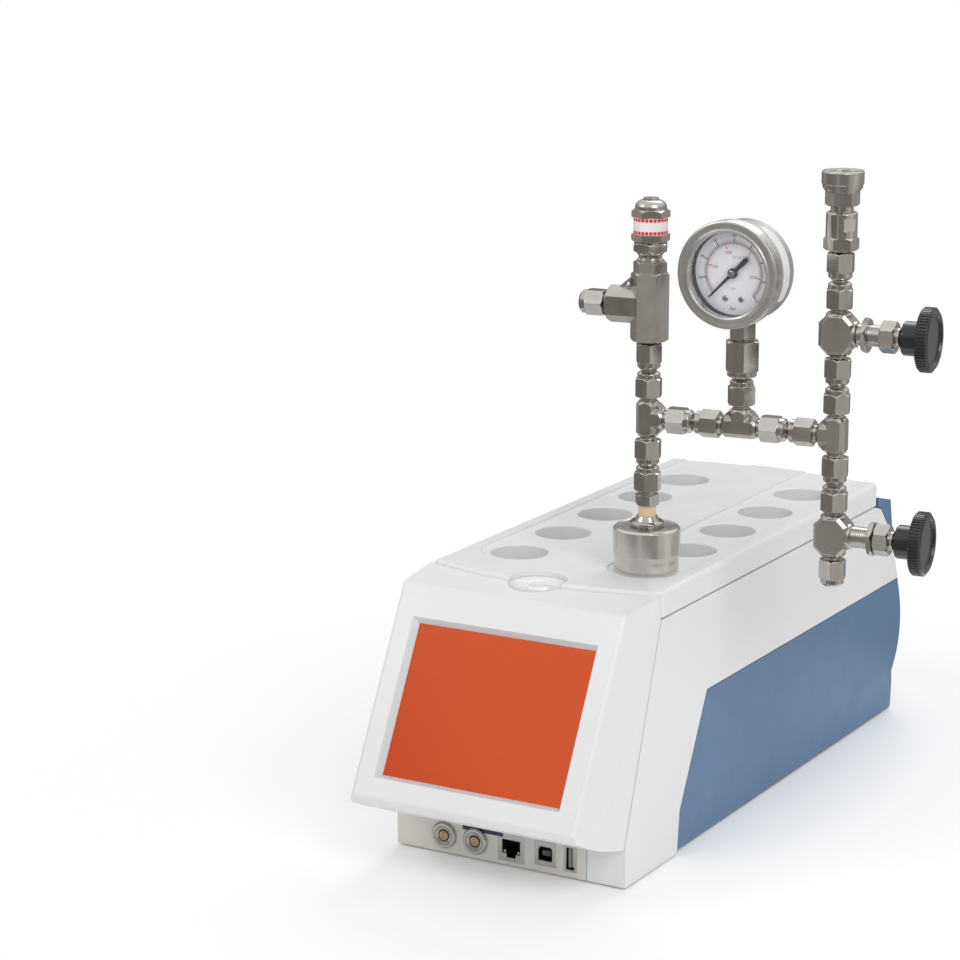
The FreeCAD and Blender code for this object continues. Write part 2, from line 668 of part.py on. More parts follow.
def make_probe_sockets():
    sockets = []
    for x in PROBE_X:
        outline = [(3.6, -1.3), (5.0, -2.0), (7.2, -2.0), (PROBE_RING_RADIUS, -1.2), (PROBE_RING_RADIUS, 0),
                   (PROBE_BARREL_RADIUS, 0), (PROBE_BARREL_RADIUS, SOCKET_DEPTH), (0, SOCKET_DEPTH),
                   (0, 1.0), (2.2, 1.0), (2.2, 8.0), (3.6, 8.0)]
        barrel = turned(outline)
        barrel.rotate(HERE, ALONG_X, -90)
        sockets.append(moved(barrel, x, BASE_FRONT_Y, PROBE_Z))
    return Part.makeCompound(sockets)


def jack(x, size, opening, notch=None):
    width, height = size
    body = box(x - width / 2, x + width / 2, BASE_FRONT_Y, BASE_FRONT_Y + SOCKET_DEPTH,
               SOCKET_Z - height / 2, SOCKET_Z + height / 2)
    open_width, open_height = opening
    body = body.cut(box(x - open_width / 2, x + open_width / 2, BASE_FRONT_Y - 1, BASE_FRONT_Y + SOCKET_DEPTH - 2,
                        SOCKET_Z - open_height / 2, SOCKET_Z + open_height / 2))
    if notch:
        body = body.cut(box(x - notch / 2, x + notch / 2, BASE_FRONT_Y - 1, BASE_FRONT_Y + SOCKET_DEPTH - 2,
                            SOCKET_Z - open_height / 2 - 2.4, SOCKET_Z))
    return body


def make_network_socket():
    return jack(NETWORK_X, NETWORK_SIZE, (12.0, 8.4), 6.0)


def make_usb_b_socket():
    body = jack(USB_B_X, USB_B_SIZE, (9.0, 8.4))
    tongue = box(USB_B_X - 2.8, USB_B_X + 2.8, BASE_FRONT_Y + 2, BASE_FRONT_Y + SOCKET_DEPTH - 1.5,
                 SOCKET_Z - 1.6, SOCKET_Z + 1.6)
    return fused([body, tongue])


def make_usb_a_socket():
    body = jack(USB_A_X, USB_A_SIZE, (5.2, 13.0))
    tongue = box(USB_A_X + 0.3, USB_A_X + 2.0, BASE_FRONT_Y + 2, BASE_FRONT_Y + SOCKET_DEPTH - 1.5,
                 SOCKET_Z - 5.5, SOCKET_Z + 5.5)
    return fused([body, tongue])


def tray_length():
    return BASE_FRONT_Y + WALL + 1.0, REAR_FOOT_Y - WALL - 3.0


def make_base_tray():
    front, rear = tray_length()
    half = HALF_WIDTH - WALL - SKIRT_INSET - 0.3
    pan = box(-half, half, front, rear, TRAY_Z, TRAY_Z + TRAY_FLANGE)
    t = TRAY_THICKNESS
    pan = pan.cut(box(-half + t, half - t, front + 16, rear - t, TRAY_Z + t, TRAY_Z + TRAY_FLANGE + 5))
    pan = pan.cut(box(-half - 1, half + 1, front - 1, front + 16, TRAY_Z + t, TRAY_Z + TRAY_FLANGE + 5))
    slots = []
    for row in range(8):
        y = WELL_FIRST_Y + 12 + row * 27.5
        for side in (-1, 1):
            x = side * (half - 7)
            slots.append(box(x - 4, x + 4, y, y + 14, TRAY_Z - 2, TRAY_Z + 3))
    return pan.cut(Part.makeCompound(slots))


def make_rubber_feet():
    front, rear = tray_length()
    feet = []
    for x in (-HALF_WIDTH + FOOT_INSET, HALF_WIDTH - FOOT_INSET):
        for y in (front + FOOT_INSET, rear - FOOT_INSET):
            foot = turned([(0, 0), (FOOT_RADIUS - 1, 0), (FOOT_RADIUS, TRAY_Z), (0, TRAY_Z)])
            feet.append(moved(foot, x, y, 0))
    return Part.makeCompound(feet)


def make_control_board():
    front = BASE_FRONT_Y + SOCKET_DEPTH
    low = SOCKET_Z - NETWORK_SIZE[1] / 2
    posts = [rod(2.5, TRAY_Z + TRAY_THICKNESS, low - BOARD_THICKNESS + 0.2, x, y)
             for x in (-55, 55) for y in (BASE_FRONT_Y + 12, BASE_FRONT_Y + 52)] if low > 7 else []
    board_z = max(low - BOARD_THICKNESS, TRAY_Z + TRAY_THICKNESS + 0.1)
    board = box(-62, 62, BASE_FRONT_Y + 17, BASE_FRONT_Y + 60, board_z, board_z + BOARD_THICKNESS)
    riser = box(-58, 48, front + 0.2, front + 0.2 + BOARD_THICKNESS, board_z, PLATE_TOP_Z + 4)
    chips = [box(-20, 4, BASE_FRONT_Y + 26, BASE_FRONT_Y + 50, board_z + 1, board_z + 4),
             box(20, 44, BASE_FRONT_Y + 30, BASE_FRONT_Y + 44, board_z + 1, board_z + 7)]
    bridge = box(-58, 48, front + 0.2, BASE_FRONT_Y + 18, board_z, board_z + BOARD_THICKNESS)
    return fused([board, riser, bridge] + chips + posts)


def make_stirrer_units():
    units = []
    z0 = TRAY_Z + TRAY_THICKNESS
    for x, y in well_places():
        outline = [(0, z0), (CELL_RADIUS - 1, z0), (CELL_RADIUS - 1, z0 + 4), (CELL_RADIUS - 6, z0 + 4),
                   (CELL_RADIUS - 6, CELL_FOOT_Z - 5), (CELL_RADIUS - 1, CELL_FOOT_Z - 5),
                   (CELL_RADIUS - 1, CELL_FOOT_Z), (0, CELL_FOOT_Z)]
        units.append(moved(turned(outline), x, y, 0))
    return Part.makeCompound(units)


def make_heating_cell(x, y):
    r = CELL_RADIUS
    g = HEATER_GROOVE_DEPTH
    floor = CELL_FOOT_Z + CELL_FLOOR
    top = COVER_FOOT_Z
    outline = [(0, CELL_FOOT_Z), (r, CELL_FOOT_Z), (r, floor), (r - g, floor + g), (r - g, top - 14),
               (r, top - 14 + g), (r, top), (CELL_BORE_RADIUS, top), (CELL_BORE_RADIUS, floor + 1),
               (CELL_BORE_RADIUS - 3, floor), (0, floor)]
    return moved(turned(outline), x, y, 0)


def make_mains_inlet():
    width, height = INLET_SIZE
    y0 = REACH_REAR - INLET_RECESS
    flange = box(-width / 2 + 0.2, width / 2 - 0.2, y0 - 3, y0, INLET_Z - height / 2 + 0.2, INLET_Z + height / 2 - 0.2)
    body = box(-width / 2 + 2, width / 2 - 2, y0 - 26, y0 - 2, INLET_Z - height / 2 + 2, INLET_Z + height / 2 - 2)
    module = fused([flange, body])
    module = module.cut(box(-21, 4, y0 - 16, y0 + 1, INLET_Z - 8, INLET_Z + 8))
    pins = [box(x - 1, x + 1, y0 - 17, y0 - 5, INLET_Z + up - 2, INLET_Z + up + 2)
            for x, up in ((-16, -2), (-8.5, 3), (-1, -2))]
    module = fused([module] + pins)
    module = module.cut(box(9, 21, y0 - 12, y0 + 1, INLET_Z - 10.5, INLET_Z + 10.5))
    return module.cut(rocker_axle(0.1))


def rocker_centre():
    return 15.0, REACH_REAR - INLET_RECESS - 5.0, INLET_Z


def rocker_axle(clearance):
    x, y, z = rocker_centre()
    length = AXLE_LENGTH + 2 * clearance
    return Part.makeCylinder(AXLE_RADIUS + clearance, length, V(x - length / 2, y, z), ALONG_X)


def make_power_switch():
    x, y, z = rocker_centre()
    half_height = 9.6
    crest = 6.2
    outline = [(y - 3, z - 3), (y + crest - 2.6, z - half_height), (y + crest, z - half_height + 0.6),
               (y + crest - 1.8, z), (y + crest, z + half_height - 0.6), (y + crest - 2.6, z + half_height),
               (y - 3, z + 3)]
    points = [V(x - 5.6, py, pz) for py, pz in outline]
    rocker = Part.Face(Part.makePolygon(points + [points[0]])).extrude(V(11.2, 0, 0))
    return fused([rocker, rocker_axle(0)])


# Reactor vessel and head, on the axis of the front right well

def make_reactor_vessel():
    top = TRACK_Z + VESSEL_NECK
    foot = VESSEL_FOOT_Z
    return turned([(0, foot), (VESSEL_RADIUS - 3, foot), (VESSEL_RADIUS, foot + 3), (VESSEL_RADIUS, top),
                   (VESSEL_RADIUS - VESSEL_WALL, top), (VESSEL_RADIUS - VESSEL_WALL, foot + 6),
                   (VESSEL_RADIUS - VESSEL_WALL - 3, foot + 4), (0, foot + 4)])


def make_head_seal():
    z = TRACK_Z + VESSEL_NECK
    return tube(VESSEL_RADIUS, VESSEL_RADIUS - VESSEL_WALL, z, z + SEAL_THICKNESS)


def make_vessel_head():
    foot = TRACK_Z
    step = foot + HEAD_SKIRT_HEIGHT
    top = foot + HEAD_HEIGHT
    ceiling = foot + VESSEL_NECK + SEAL_THICKNESS
    inner = VESSEL_RADIUS + 0.1
    bore = CONNECTOR_STEM_RADIUS + 0.05
    return turned([(inner, foot), (HEAD_SKIRT_RADIUS, foot), (HEAD_SKIRT_RADIUS, step - 3.0),
                   (HEAD_RADIUS, step), (HEAD_RADIUS, top - 1.2), (HEAD_RADIUS - 1.2, top),
                   (HEAD_RADIUS - 1.8, top), (HEAD_RADIUS - 2.0, top - 0.3), (bore, top - 0.3),
                   (bore, ceiling), (inner, ceiling)])


def head_stack():
    ring_foot = TRACK_Z + HEAD_HEIGHT - 0.3
    ring_top = ring_foot + RING_FOOT[1] + sum(height for radius, height in RING_STEPS)
    collar_top = ring_top + COLLAR_HEIGHT
    hex_top = collar_top + CONNECTOR_HEX_HEIGHT
    return ring_foot, ring_top, collar_top, hex_top


def make_head_ring():
    ring_foot, ring_top, collar_top, hex_top = head_stack()
    (wide, low), (narrow, high) = RING_STEPS
    bore = CONNECTOR_STEM_RADIUS + 0.05
    foot_radius, foot_height = RING_FOOT
    flange = ring_foot + foot_height
    return turned([(bore, ring_foot), (foot_radius, ring_foot), (foot_radius, flange), (wide, flange),
                   (wide, flange + low - 0.9), (wide - 0.9, flange + low), (narrow + 0.5, flange + low),
                   (narrow - 1.3, ring_top), (bore, ring_top)])


def make_head_collar():
    ring_foot, ring_top, collar_top, hex_top = head_stack()
    return tube(COLLAR_RADIUS, CONNECTOR_STEM_RADIUS + 0.05, ring_top, collar_top)


def make_head_connector():
    ring_foot, ring_top, collar_top, hex_top = head_stack()
    stem = rod(CONNECTOR_STEM_RADIUS, TRACK_Z + VESSEL_NECK + SEAL_THICKNESS + 1, collar_top)
    nut = chamfered_hexagon(CONNECTOR_HEX, collar_top, hex_top)
    seat = hex_top + CONNECTOR_NECK
    body = fused([stem, nut, fitting_end(seat, CONNECTOR_NECK)])
    return body.cut(fitting_bore(seat, -40))


# Tube fittings, each end built along Z; the nut starts at the seat, a shown neck above the shoulder

def fitting_end(seat, shown):
    foot = seat - shown - 0.5
    top = seat + END_NECK_LENGTH
    return turned([(0, foot), (END_RELIEF_RADIUS, foot), (END_RELIEF_RADIUS, seat - 0.3), (END_NECK_RADIUS, seat + 0.5),
                   (END_NECK_RADIUS, top - 1.2), (END_NECK_RADIUS - 0.9, top), (0, top)])


def fitting_bore(seat, foot):
    flow = rod(TUBE_BORE, foot, seat + END_TUBE_STOP + 1)
    socket = rod(TUBE_RADIUS + TUBE_FIT, seat + END_TUBE_STOP, seat + END_NECK_LENGTH + 1)
    return flow.fuse(socket)


def compression_nut(turn):
    neck = END_NECK_RADIUS + TUBE_FIT
    bore = TUBE_RADIUS + TUBE_FIT
    body = chamfered_hexagon(NUT_HEX, 0, NUT_HEX_LENGTH, turn, True, True)
    collar = turned([(0, NUT_HEX_LENGTH - 0.5), (NUT_COLLAR_RADIUS, NUT_HEX_LENGTH - 0.5),
                     (NUT_COLLAR_RADIUS, NUT_LENGTH - 1.4), (NUT_COLLAR_RADIUS - 1.6, NUT_LENGTH), (0, NUT_LENGTH)])
    socket = turned([(0, -1), (neck, -1), (neck, END_NECK_LENGTH), (bore, END_NECK_LENGTH + 2.4),
                     (bore, NUT_LENGTH + 1), (0, NUT_LENGTH + 1)])
    return fused([body, collar]).cut(socket)


def nut_at(x, z, seat, direction, turn=30.0):
    nut = moved(compression_nut(turn), 0, 0, seat + NUT_GAP)
    return moved(pointed(nut, direction), x, 0, z)


def tee_arm():
    half = TEE_BAR / 2
    flat = half - TEE_CHAMFER
    points = [V(half, flat, 0), V(flat, half, 0), V(-flat, half, 0), V(-half, flat, 0),
              V(-half, -flat, 0), V(-flat, -half, 0), V(flat, -half, 0), V(half, -flat, 0)]
    bar = Part.Face(Part.makePolygon(points + [points[0]])).extrude(V(0, 0, TEE_SHOULDER))
    corner = math.hypot(half, flat)
    rounding = turned([(0, 0), (corner + 0.1, 0), (corner + 0.1, TEE_SHOULDER - 2.4),
                       (half - 0.7, TEE_SHOULDER), (0, TEE_SHOULDER)])
    seat = TEE_SHOULDER + TEE_NECK
    return bar.common(rounding).fuse(fitting_end(seat, TEE_NECK))


def tee_body(directions):
    facing = {"up": (0, 1), "down": (0, -1), "right": (1, 0), "left": (-1, 0)}
    flat = TEE_BAR / 2 - TEE_CHAMFER
    reach = TEE_SHOULDER - 1.2
    core = []
    bores = []
    for direction in directions:
        core.append(pointed(tee_arm(), direction))
        bores.append(pointed(fitting_bore(TEE_SHOULDER + TEE_NECK, 0), direction))
    for first in directions:
        for second in directions:
            across, up = facing[first], facing[second]
            if across[0] == 0 or up[1] == 0:
                continue
            low = TEE_BAR + TEE_GUSSET - reach
            corners = [(0, 0), (reach, 0), (reach, low), (low, reach), (0, reach)]
            web = [V(a * across[0], -flat, b * up[1]) for a, b in corners]
            core.append(Part.Face(Part.makePolygon(web + [web[0]])).extrude(V(0, 2 * flat, 0)))
    return fused(core).cut(bores)


def make_tee(index):
    directions = (("up", "down", "right"), ("left", "right", "up"), ("left", "up", "down"))[index]
    return moved(tee_body(directions), index * TEE_PITCH, 0, MANIFOLD_Z)


def make_compression_nuts():
    hex_top = head_stack()[3]
    right = 2 * TEE_PITCH
    tee_seat = TEE_SHOULDER + TEE_NECK
    valve_seat = VALVE_SHOULDER + VALVE_NECK
    nuts = [nut_at(0, 0, hex_top + CONNECTOR_NECK, "up", 38)]
    turns = {"up": 42, "down": -42, "right": 30, "left": 0}
    for index, directions in enumerate((("up", "down", "right"), ("left", "right", "up"), ("left", "up", "down"))):
        for direction in directions:
            turn = turns[direction] + (18 if (index, direction) == (1, "up") else 0)
            nuts.append(nut_at(index * TEE_PITCH, MANIFOLD_Z, tee_seat, direction, turn))
    nuts.append(nut_at(0, RELIEF_FOOT_Z, RELIEF_FOOT_NECK, "down", -54))
    nuts.append(nut_at(right, MANIFOLD_Z - VALVE_RISE, valve_seat, "up", 40))
    nuts.append(nut_at(right, MANIFOLD_Z + VALVE_RISE, valve_seat, "down", -42))
    nuts.append(nut_at(right, MANIFOLD_Z + VALVE_RISE, valve_seat, "up", 44))
    nuts.append(nut_at(right, COUPLER_FOOT_Z, COUPLER_NECK_SHOWN, "down", -38))
    return Part.makeCompound(nuts)


def make_vent_nut():
    return nut_at(0, relief_port_z(), RELIEF_PORT_REACH + RELIEF_PORT_NECK, "left")


def make_inlet_nut():
    return nut_at(2 * TEE_PITCH, MANIFOLD_Z - VALVE_RISE, VALVE_SHOULDER + VALVE_NECK, "down", -40)


def make_link_tubes():
    hex_top = head_stack()[3]
    reach = END_NECK_LENGTH - END_TUBE_STOP
    inside = NUT_LENGTH + NUT_GAP - END_NECK_LENGTH + reach - 0.2
    half = inside + TUBE_GAP / 2
    right = 2 * TEE_PITCH

    def link(length, x, z, direction):
        piece = tube(TUBE_RADIUS, TUBE_BORE, -length / 2, length / 2)
        return moved(pointed(piece, direction), x, 0, z)

    foot = hex_top + CONNECTOR_NECK + END_TUBE_STOP + 0.2
    top = MANIFOLD_Z - TEE_SHOULDER - TEE_NECK - END_TUBE_STOP - 0.2
    pieces = [link(top - foot, 0, (top + foot) / 2, "up")]
    joint = TEE_REACH + TUBE_GAP / 2
    pieces.append(link(2 * half, 0, MANIFOLD_Z + joint, "up"))
    pieces.append(link(2 * half, joint, MANIFOLD_Z, "right"))
    pieces.append(link(2 * half, TEE_PITCH + joint, MANIFOLD_Z, "right"))
    pieces.append(link(2 * half, TEE_PITCH, MANIFOLD_Z + joint, "up"))
    pieces.append(link(2 * half, right, MANIFOLD_Z - joint, "up"))
    pieces.append(link(2 * half, right, MANIFOLD_Z + joint, "up"))
    pieces.append(link(2 * half, right, MANIFOLD_Z + VALVE_RISE + VALVE_REACH + TUBE_GAP / 2, "up"))
    return Part.makeCompound(pieces)


# Needle valves

def valve_place(name):
    rise = VALVE_RISE if name == "upper" else -VALVE_RISE
    return 2 * TEE_PITCH, MANIFOLD_Z + rise


def make_valve_body(name):
    x, z = valve_place(name)
    width, depth, height = VALVE_BODY
    block = box(-width / 2, width / 2, -depth / 2, depth / 2, -height / 2, height / 2)
    corners = [edge for edge in block.Edges if abs(edge.CenterOfMass.y) < 0.01]
    block = block.makeChamfer(VALVE_CHAMFER, corners)
    rims = [edge for edge in block.Edges if abs(abs(edge.CenterOfMass.y) - depth / 2) < 0.01]
    block = block.makeChamfer(VALVE_RIM_CHAMFER, rims)
    parts = [block]
    for direction in ("up", "down"):
        r = VALVE_ARM_RADIUS
        arm = turned([(0, 0), (r, 0), (r, VALVE_SHOULDER - 1.2), (r - 1.2, VALVE_SHOULDER), (0, VALVE_SHOULDER)])
        parts.append(pointed(arm.fuse(fitting_end(VALVE_SHOULDER + VALVE_NECK, VALVE_NECK)), direction))
    collar = BONNET_COLLAR_RADIUS
    neck = turned([(0, 0), (collar, 0), (collar, width / 2 + 0.8), (BONNET_RADIUS, width / 2 + 2.0),
                   (BONNET_RADIUS, BONNET_END - 0.8), (BONNET_RADIUS - 0.8, BONNET_END), (0, BONNET_END)])
    parts.append(pointed(neck, "right"))
    body = fused(parts)
    for direction in ("up", "down"):
        body = body.cut(pointed(fitting_bore(VALVE_SHOULDER + VALVE_NECK, 0), direction))
    stem_bore = pointed(rod(STEM_RADIUS + STEM_FIT, -1.0, BONNET_END + 1), "right")
    return moved(body.cut(stem_bore), x, 0, z)


def make_bonnet_nuts():
    pieces = []
    for name in ("lower", "upper"):
        x, z = valve_place(name)
        start, end = BONNET_NUT
        nut = chamfered_hexagon(BONNET_NUT_HEX, start, end, 0, True, True)
        gland = turned([(0, end - 0.5), (GLAND_RADIUS, end - 0.5), (GLAND_RADIUS, GLAND_END - 0.6),
                        (GLAND_RADIUS - 0.6, GLAND_END), (0, GLAND_END)])
        bore = turned([(0, start - 1), (BONNET_RADIUS + 0.1, start - 1), (BONNET_RADIUS + 0.1, BONNET_END + 0.2),
                       (STEM_RADIUS + STEM_FIT, BONNET_END + 1.4), (STEM_RADIUS + STEM_FIT, GLAND_END + 1),
                       (0, GLAND_END + 1)])
        pieces.append(moved(pointed(fused([nut, gland]).cut(bore), "right"), x, 0, z))
        panel_start = PANEL_NUT_START[name]
        panel = chamfered_hexagon(PANEL_NUT_HEX, panel_start, panel_start + PANEL_NUT_THICKNESS, 12, True, True)
        panel = panel.cut(rod(BONNET_RADIUS + 0.1, panel_start - 1, panel_start + 9))
        pieces.append(moved(pointed(panel, "right"), x, 0, z))
    return Part.makeCompound(pieces)


def make_valve_stem(name):
    x, z = valve_place(name)
    stem = turned([(0, STEM_TIP), (0.6, STEM_TIP), (STEM_RADIUS, STEM_TIP + 4), (STEM_RADIUS, HANDLE_START + 8),
                   (0, HANDLE_START + 8)])
    return moved(pointed(stem, "right"), x, 0, z)


def make_valve_handle(name):
    x, z = valve_place(name)
    hub_end = HANDLE_START + HUB_LENGTH
    end = HANDLE_END
    rim = WHEEL_RIM_RADIUS
    outline = [(0, HANDLE_START), (HUB_RADIUS - 0.9, HANDLE_START), (HUB_RADIUS, HANDLE_START + 0.9),
               (HUB_RADIUS, hub_end), (WHEEL_RADIUS - 0.8, hub_end), (WHEEL_RADIUS, hub_end + 0.8),
               (WHEEL_RADIUS, end - 1.4), (rim, end), (WHEEL_DISH_RADIUS, end),
               (WHEEL_DISH_RADIUS - 0.8, end - WHEEL_DISH_DEPTH), (0, end - WHEEL_DISH_DEPTH)]
    wheel = turned(outline)
    groove = Part.makeBox(KNURL_DEPTH * 2, 0.8, WHEEL_THICKNESS + 2,
                          V(WHEEL_RADIUS - KNURL_DEPTH, -0.4, hub_end - 1))
    grooves = []
    for index in range(KNURL_COUNT):
        cutter = groove.copy()
        cutter.rotate(HERE, ALONG_Z, 360.0 * index / KNURL_COUNT)
        grooves.append(cutter)
    wheel = wheel.cut(Part.makeCompound(grooves))
    wheel = wheel.cut(rod(STEM_RADIUS + 0.03, HANDLE_START - 1, HANDLE_START + 8.1))
    screw_hole = Part.makeCylinder(SET_SCREW_RADIUS, HUB_RADIUS, V(4.2, 0, HANDLE_START + 5), ALONG_X)
    screw_hole.rotate(HERE, ALONG_Z, 0)
    wheel = wheel.cut(screw_hole)
    return moved(pointed(wheel, "right"), x, 0, z)


# Relief valve on top of the left branch

def relief_port_z():
    return RELIEF_FOOT_Z + RELIEF_PORT_UP


def make_relief_body():
    foot = RELIEF_FOOT_Z
    top = foot + RELIEF_BODY_HEIGHT
    upper = top + RELIEF_UPPER_HEIGHT
    turn = 8.0
    body = chamfered_hexagon(RELIEF_HEX, foot, top, turn, True, True)
    collar = chamfered_hexagon(RELIEF_UPPER_HEX, top - 0.5, upper, turn, False, True)
    port = chamfered_hexagon(RELIEF_PORT_HEX, 0, RELIEF_PORT_REACH, 0, False, True)
    port = moved(pointed(port, "left"), 0, 0, relief_port_z())
    port_seat = RELIEF_PORT_REACH + RELIEF_PORT_NECK
    flat = RELIEF_HEX / 2
    rise = relief_port_z() + RELIEF_PORT_HEX / math.sqrt(3)
    web = [V(-flat + 1, 0, top - 1), V(-flat - 9, 0, rise - 1.2), V(-flat - 9, 0, rise - 4), V(-flat + 1, 0, rise - 4)]
    web = Part.Face(Part.makePolygon(web + [web[0]])).extrude(V(0, WEB_THICKNESS, 0))
    web.translate(V(0, -WEB_THICKNESS / 2, 0))
    hole = Part.makeCylinder(WEB_HOLE_RADIUS, 20, V(-flat - 3.4, -10, rise + 1.2), ALONG_Y)
    inlet = moved(pointed(fitting_end(RELIEF_FOOT_NECK, RELIEF_FOOT_NECK), "down"), 0, 0, foot)
    outlet = moved(pointed(fitting_end(port_seat, RELIEF_PORT_NECK), "left"), 0, 0, relief_port_z())
    shape = fused([body, collar, port, web.cut(hole), inlet, outlet])
    shape = shape.cut(moved(pointed(fitting_bore(RELIEF_FOOT_NECK, -RELIEF_PORT_UP), "down"), 0, 0, foot))
    shape = shape.cut(moved(pointed(fitting_bore(port_seat, 0), "left"), 0, 0, relief_port_z()))
    return shape.cut(rod(5.0, relief_port_z() + 6, upper + 1))


def make_relief_bonnet():
    foot = RELIEF_FOOT_Z + RELIEF_BODY_HEIGHT + RELIEF_UPPER_HEIGHT
    shoulder = foot + RELIEF_NECK_HEIGHT
    top = shoulder + BONNET_HEIGHT
    neck = turned([(0, foot), (RELIEF_NECK_RADIUS, foot), (RELIEF_NECK_RADIUS, foot + 1.0),
                   (RELIEF_NECK_RADIUS - 0.9, foot + 1.8), (RELIEF_NECK_RADIUS - 0.9, foot + 3.0),
                   (RELIEF_NECK_RADIUS + 0.9, shoulder), (0, shoulder)])
    low = shoulder + BAND_SPAN[0]
    high = shoulder + BAND_SPAN[1]
    lock_top = shoulder + LOCK_NUT_HEIGHT
    lock_nut = chamfered_hexagon(LOCK_NUT_HEX, shoulder, lock_top, 47, True, True)
    thread = rod(BONNET_HEX / 2 - 1.2, shoulder - 0.5, low)
    lower_hex = chamfered_hexagon(BONNET_HEX, lock_top + LOCK_GROOVE, low, 24, True, False)
    band = rod(BAND_RADIUS, low - 0.2, high + 0.2)
    upper_hex = chamfered_hexagon(BONNET_HEX, high, top, 24, False, True)
    shape = fused([neck, lock_nut, thread, lower_hex, band, upper_hex])
    return shape.cut(rod(5.0, foot - 1, top - 4))


def make_relief_cap():
    foot = RELIEF_FOOT_Z + RELIEF_BODY_HEIGHT + RELIEF_UPPER_HEIGHT + RELIEF_NECK_HEIGHT + BONNET_HEIGHT
    dome = rod(CAP_RADIUS, foot, foot + CAP_HEIGHT - 1.2)
    rim = [edge for edge in dome.Edges if abs(edge.CenterOfMass.z - foot - CAP_HEIGHT + 1.2) < 0.01]
    dome = dome.makeFillet(4.4, rim)
    button = rod(4.4, foot + CAP_HEIGHT - 1.8, foot + CAP_HEIGHT)
    return fused([dome, button])


# Pressure gauge, built on its own stem axis and turned to face the front

def gauge_z():
    return MANIFOLD_Z + GAUGE_UP


def facing_front(shape):
    """Turns a piece made along Z so that Z runs to the rear, and lifts it to the dial's centre."""
    placed = shape.copy()
    placed.rotate(HERE, ALONG_X, -90)
    placed.translate(V(0, 0, gauge_z()))
    return placed


def on_gauge(shape):
    placed = shape.copy()
    placed.rotate(HERE, ALONG_Z, -MANIFOLD_YAW)
    placed.translate(V(TEE_PITCH, 0, 0))
    return placed


def make_gauge_case():
    r = GAUGE_CASE_RADIUS
    w = GAUGE_CASE_WALL
    front = GAUGE_FRONT + 2.0
    shelf = GAUGE_DIAL_FRONT + 1.0
    case = turned([(r, front), (r, GAUGE_BACK - 3.2), (r - 1.0, GAUGE_BACK - 1.0), (r - 3.2, GAUGE_BACK),
                   (0, GAUGE_BACK), (0, GAUGE_BACK - w), (r - w - 2.4, GAUGE_BACK - w), (r - w, GAUGE_BACK - w - 2.4),
                   (r - w, shelf + 1.6), (r - w - 3, shelf + 1.6), (r - w - 3, shelf), (r - w, shelf), (r - w, front)])
    return on_gauge(facing_front(case).cut(rod(GAUGE_THREAD_RADIUS + TUBE_FIT, 0, gauge_z())))


def make_gauge_bezel():
    outer = GAUGE_RADIUS
    inner = GAUGE_OPENING_RADIUS
    front = GAUGE_FRONT
    seat = GAUGE_CASE_RADIUS + 0.1
    ring = turned([(inner, front + 2.4), (inner + 0.8, front + 0.9), (inner + 2.2, front), (outer - 1.6, front),
                   (outer - 0.4, front + 0.8), (outer, front + 2.4), (outer, front + GAUGE_BEZEL_DEPTH),
                   (seat, front + GAUGE_BEZEL_DEPTH), (seat, front + 1.9), (GAUGE_CASE_RADIUS - 2.6, front + 1.9),
                   (GAUGE_CASE_RADIUS - 2.6, GAUGE_WINDOW_FRONT), (inner, GAUGE_WINDOW_FRONT)])
    return on_gauge(facing_front(ring))


def make_gauge_window():
    radius = GAUGE_CASE_RADIUS - GAUGE_CASE_WALL - 0.2
    return on_gauge(facing_front(rod(radius, GAUGE_WINDOW_FRONT, GAUGE_WINDOW_FRONT + 1.8)))


def make_gauge_dial():
    radius = GAUGE_CASE_RADIUS - GAUGE_CASE_WALL - 0.2
    plate = tube(radius, 1.2, GAUGE_DIAL_FRONT, GAUGE_DIAL_FRONT + 1.0)
    screw_x, screw_drop = DIAL_SCREW
    screws = [rod(1.5, GAUGE_DIAL_FRONT - 0.7, GAUGE_DIAL_FRONT + 0.1, x, screw_drop) for x in (-screw_x, screw_x)]
    return on_gauge(facing_front(fused([plate] + screws)))


def make_gauge_pointer():
    z0 = GAUGE_POINTER_FRONT
    z1 = z0 + 0.8
    blade = [V(0.3, -POINTER_REACH, z0), V(0.9, -3, z0), V(1.0, 3, z0), V(1.5, POINTER_TAIL - 1.6, z0),
             V(0.9, POINTER_TAIL, z0)]
    blade += [V(-p.x, p.y, p.z) for p in reversed(blade)]
    blade = Part.Face(Part.makePolygon(blade + [blade[0]])).extrude(V(0, 0, z1 - z0))
    hub = turned([(0, z0 - 0.9), (2.3, z0 - 0.9), (2.9, z0), (2.9, z1 + 0.4), (1.1, z1 + 0.4),
                  (1.1, GAUGE_DIAL_FRONT + 4), (0, GAUGE_DIAL_FRONT + 4)])
    pointer = fused([blade, hub])
    pointer.rotate(HERE, ALONG_Z, POINTER_ZERO)
    return on_gauge(facing_front(pointer))


def adapter_foot():
    return MANIFOLD_Z + TEE_REACH + TUBE_GAP


def make_gauge_adapter():
    foot = adapter_foot()
    top = foot + ADAPTER_HEIGHT
    body = chamfered_hexagon(ADAPTER_HEX, foot + 3.2, top, 0, True, True)
    collar = turned([(0, foot), (7.6, foot), (8.4, foot + 0.9), (8.4, foot + 3.6), (0, foot + 3.6)])
    shape = fused([body, collar]).cut(rod(TUBE_RADIUS + TUBE_FIT, foot - 1, foot + 13))
    return on_gauge(shape.cut(rod(GAUGE_THREAD_RADIUS + TUBE_FIT, top - 9, top + 1)))


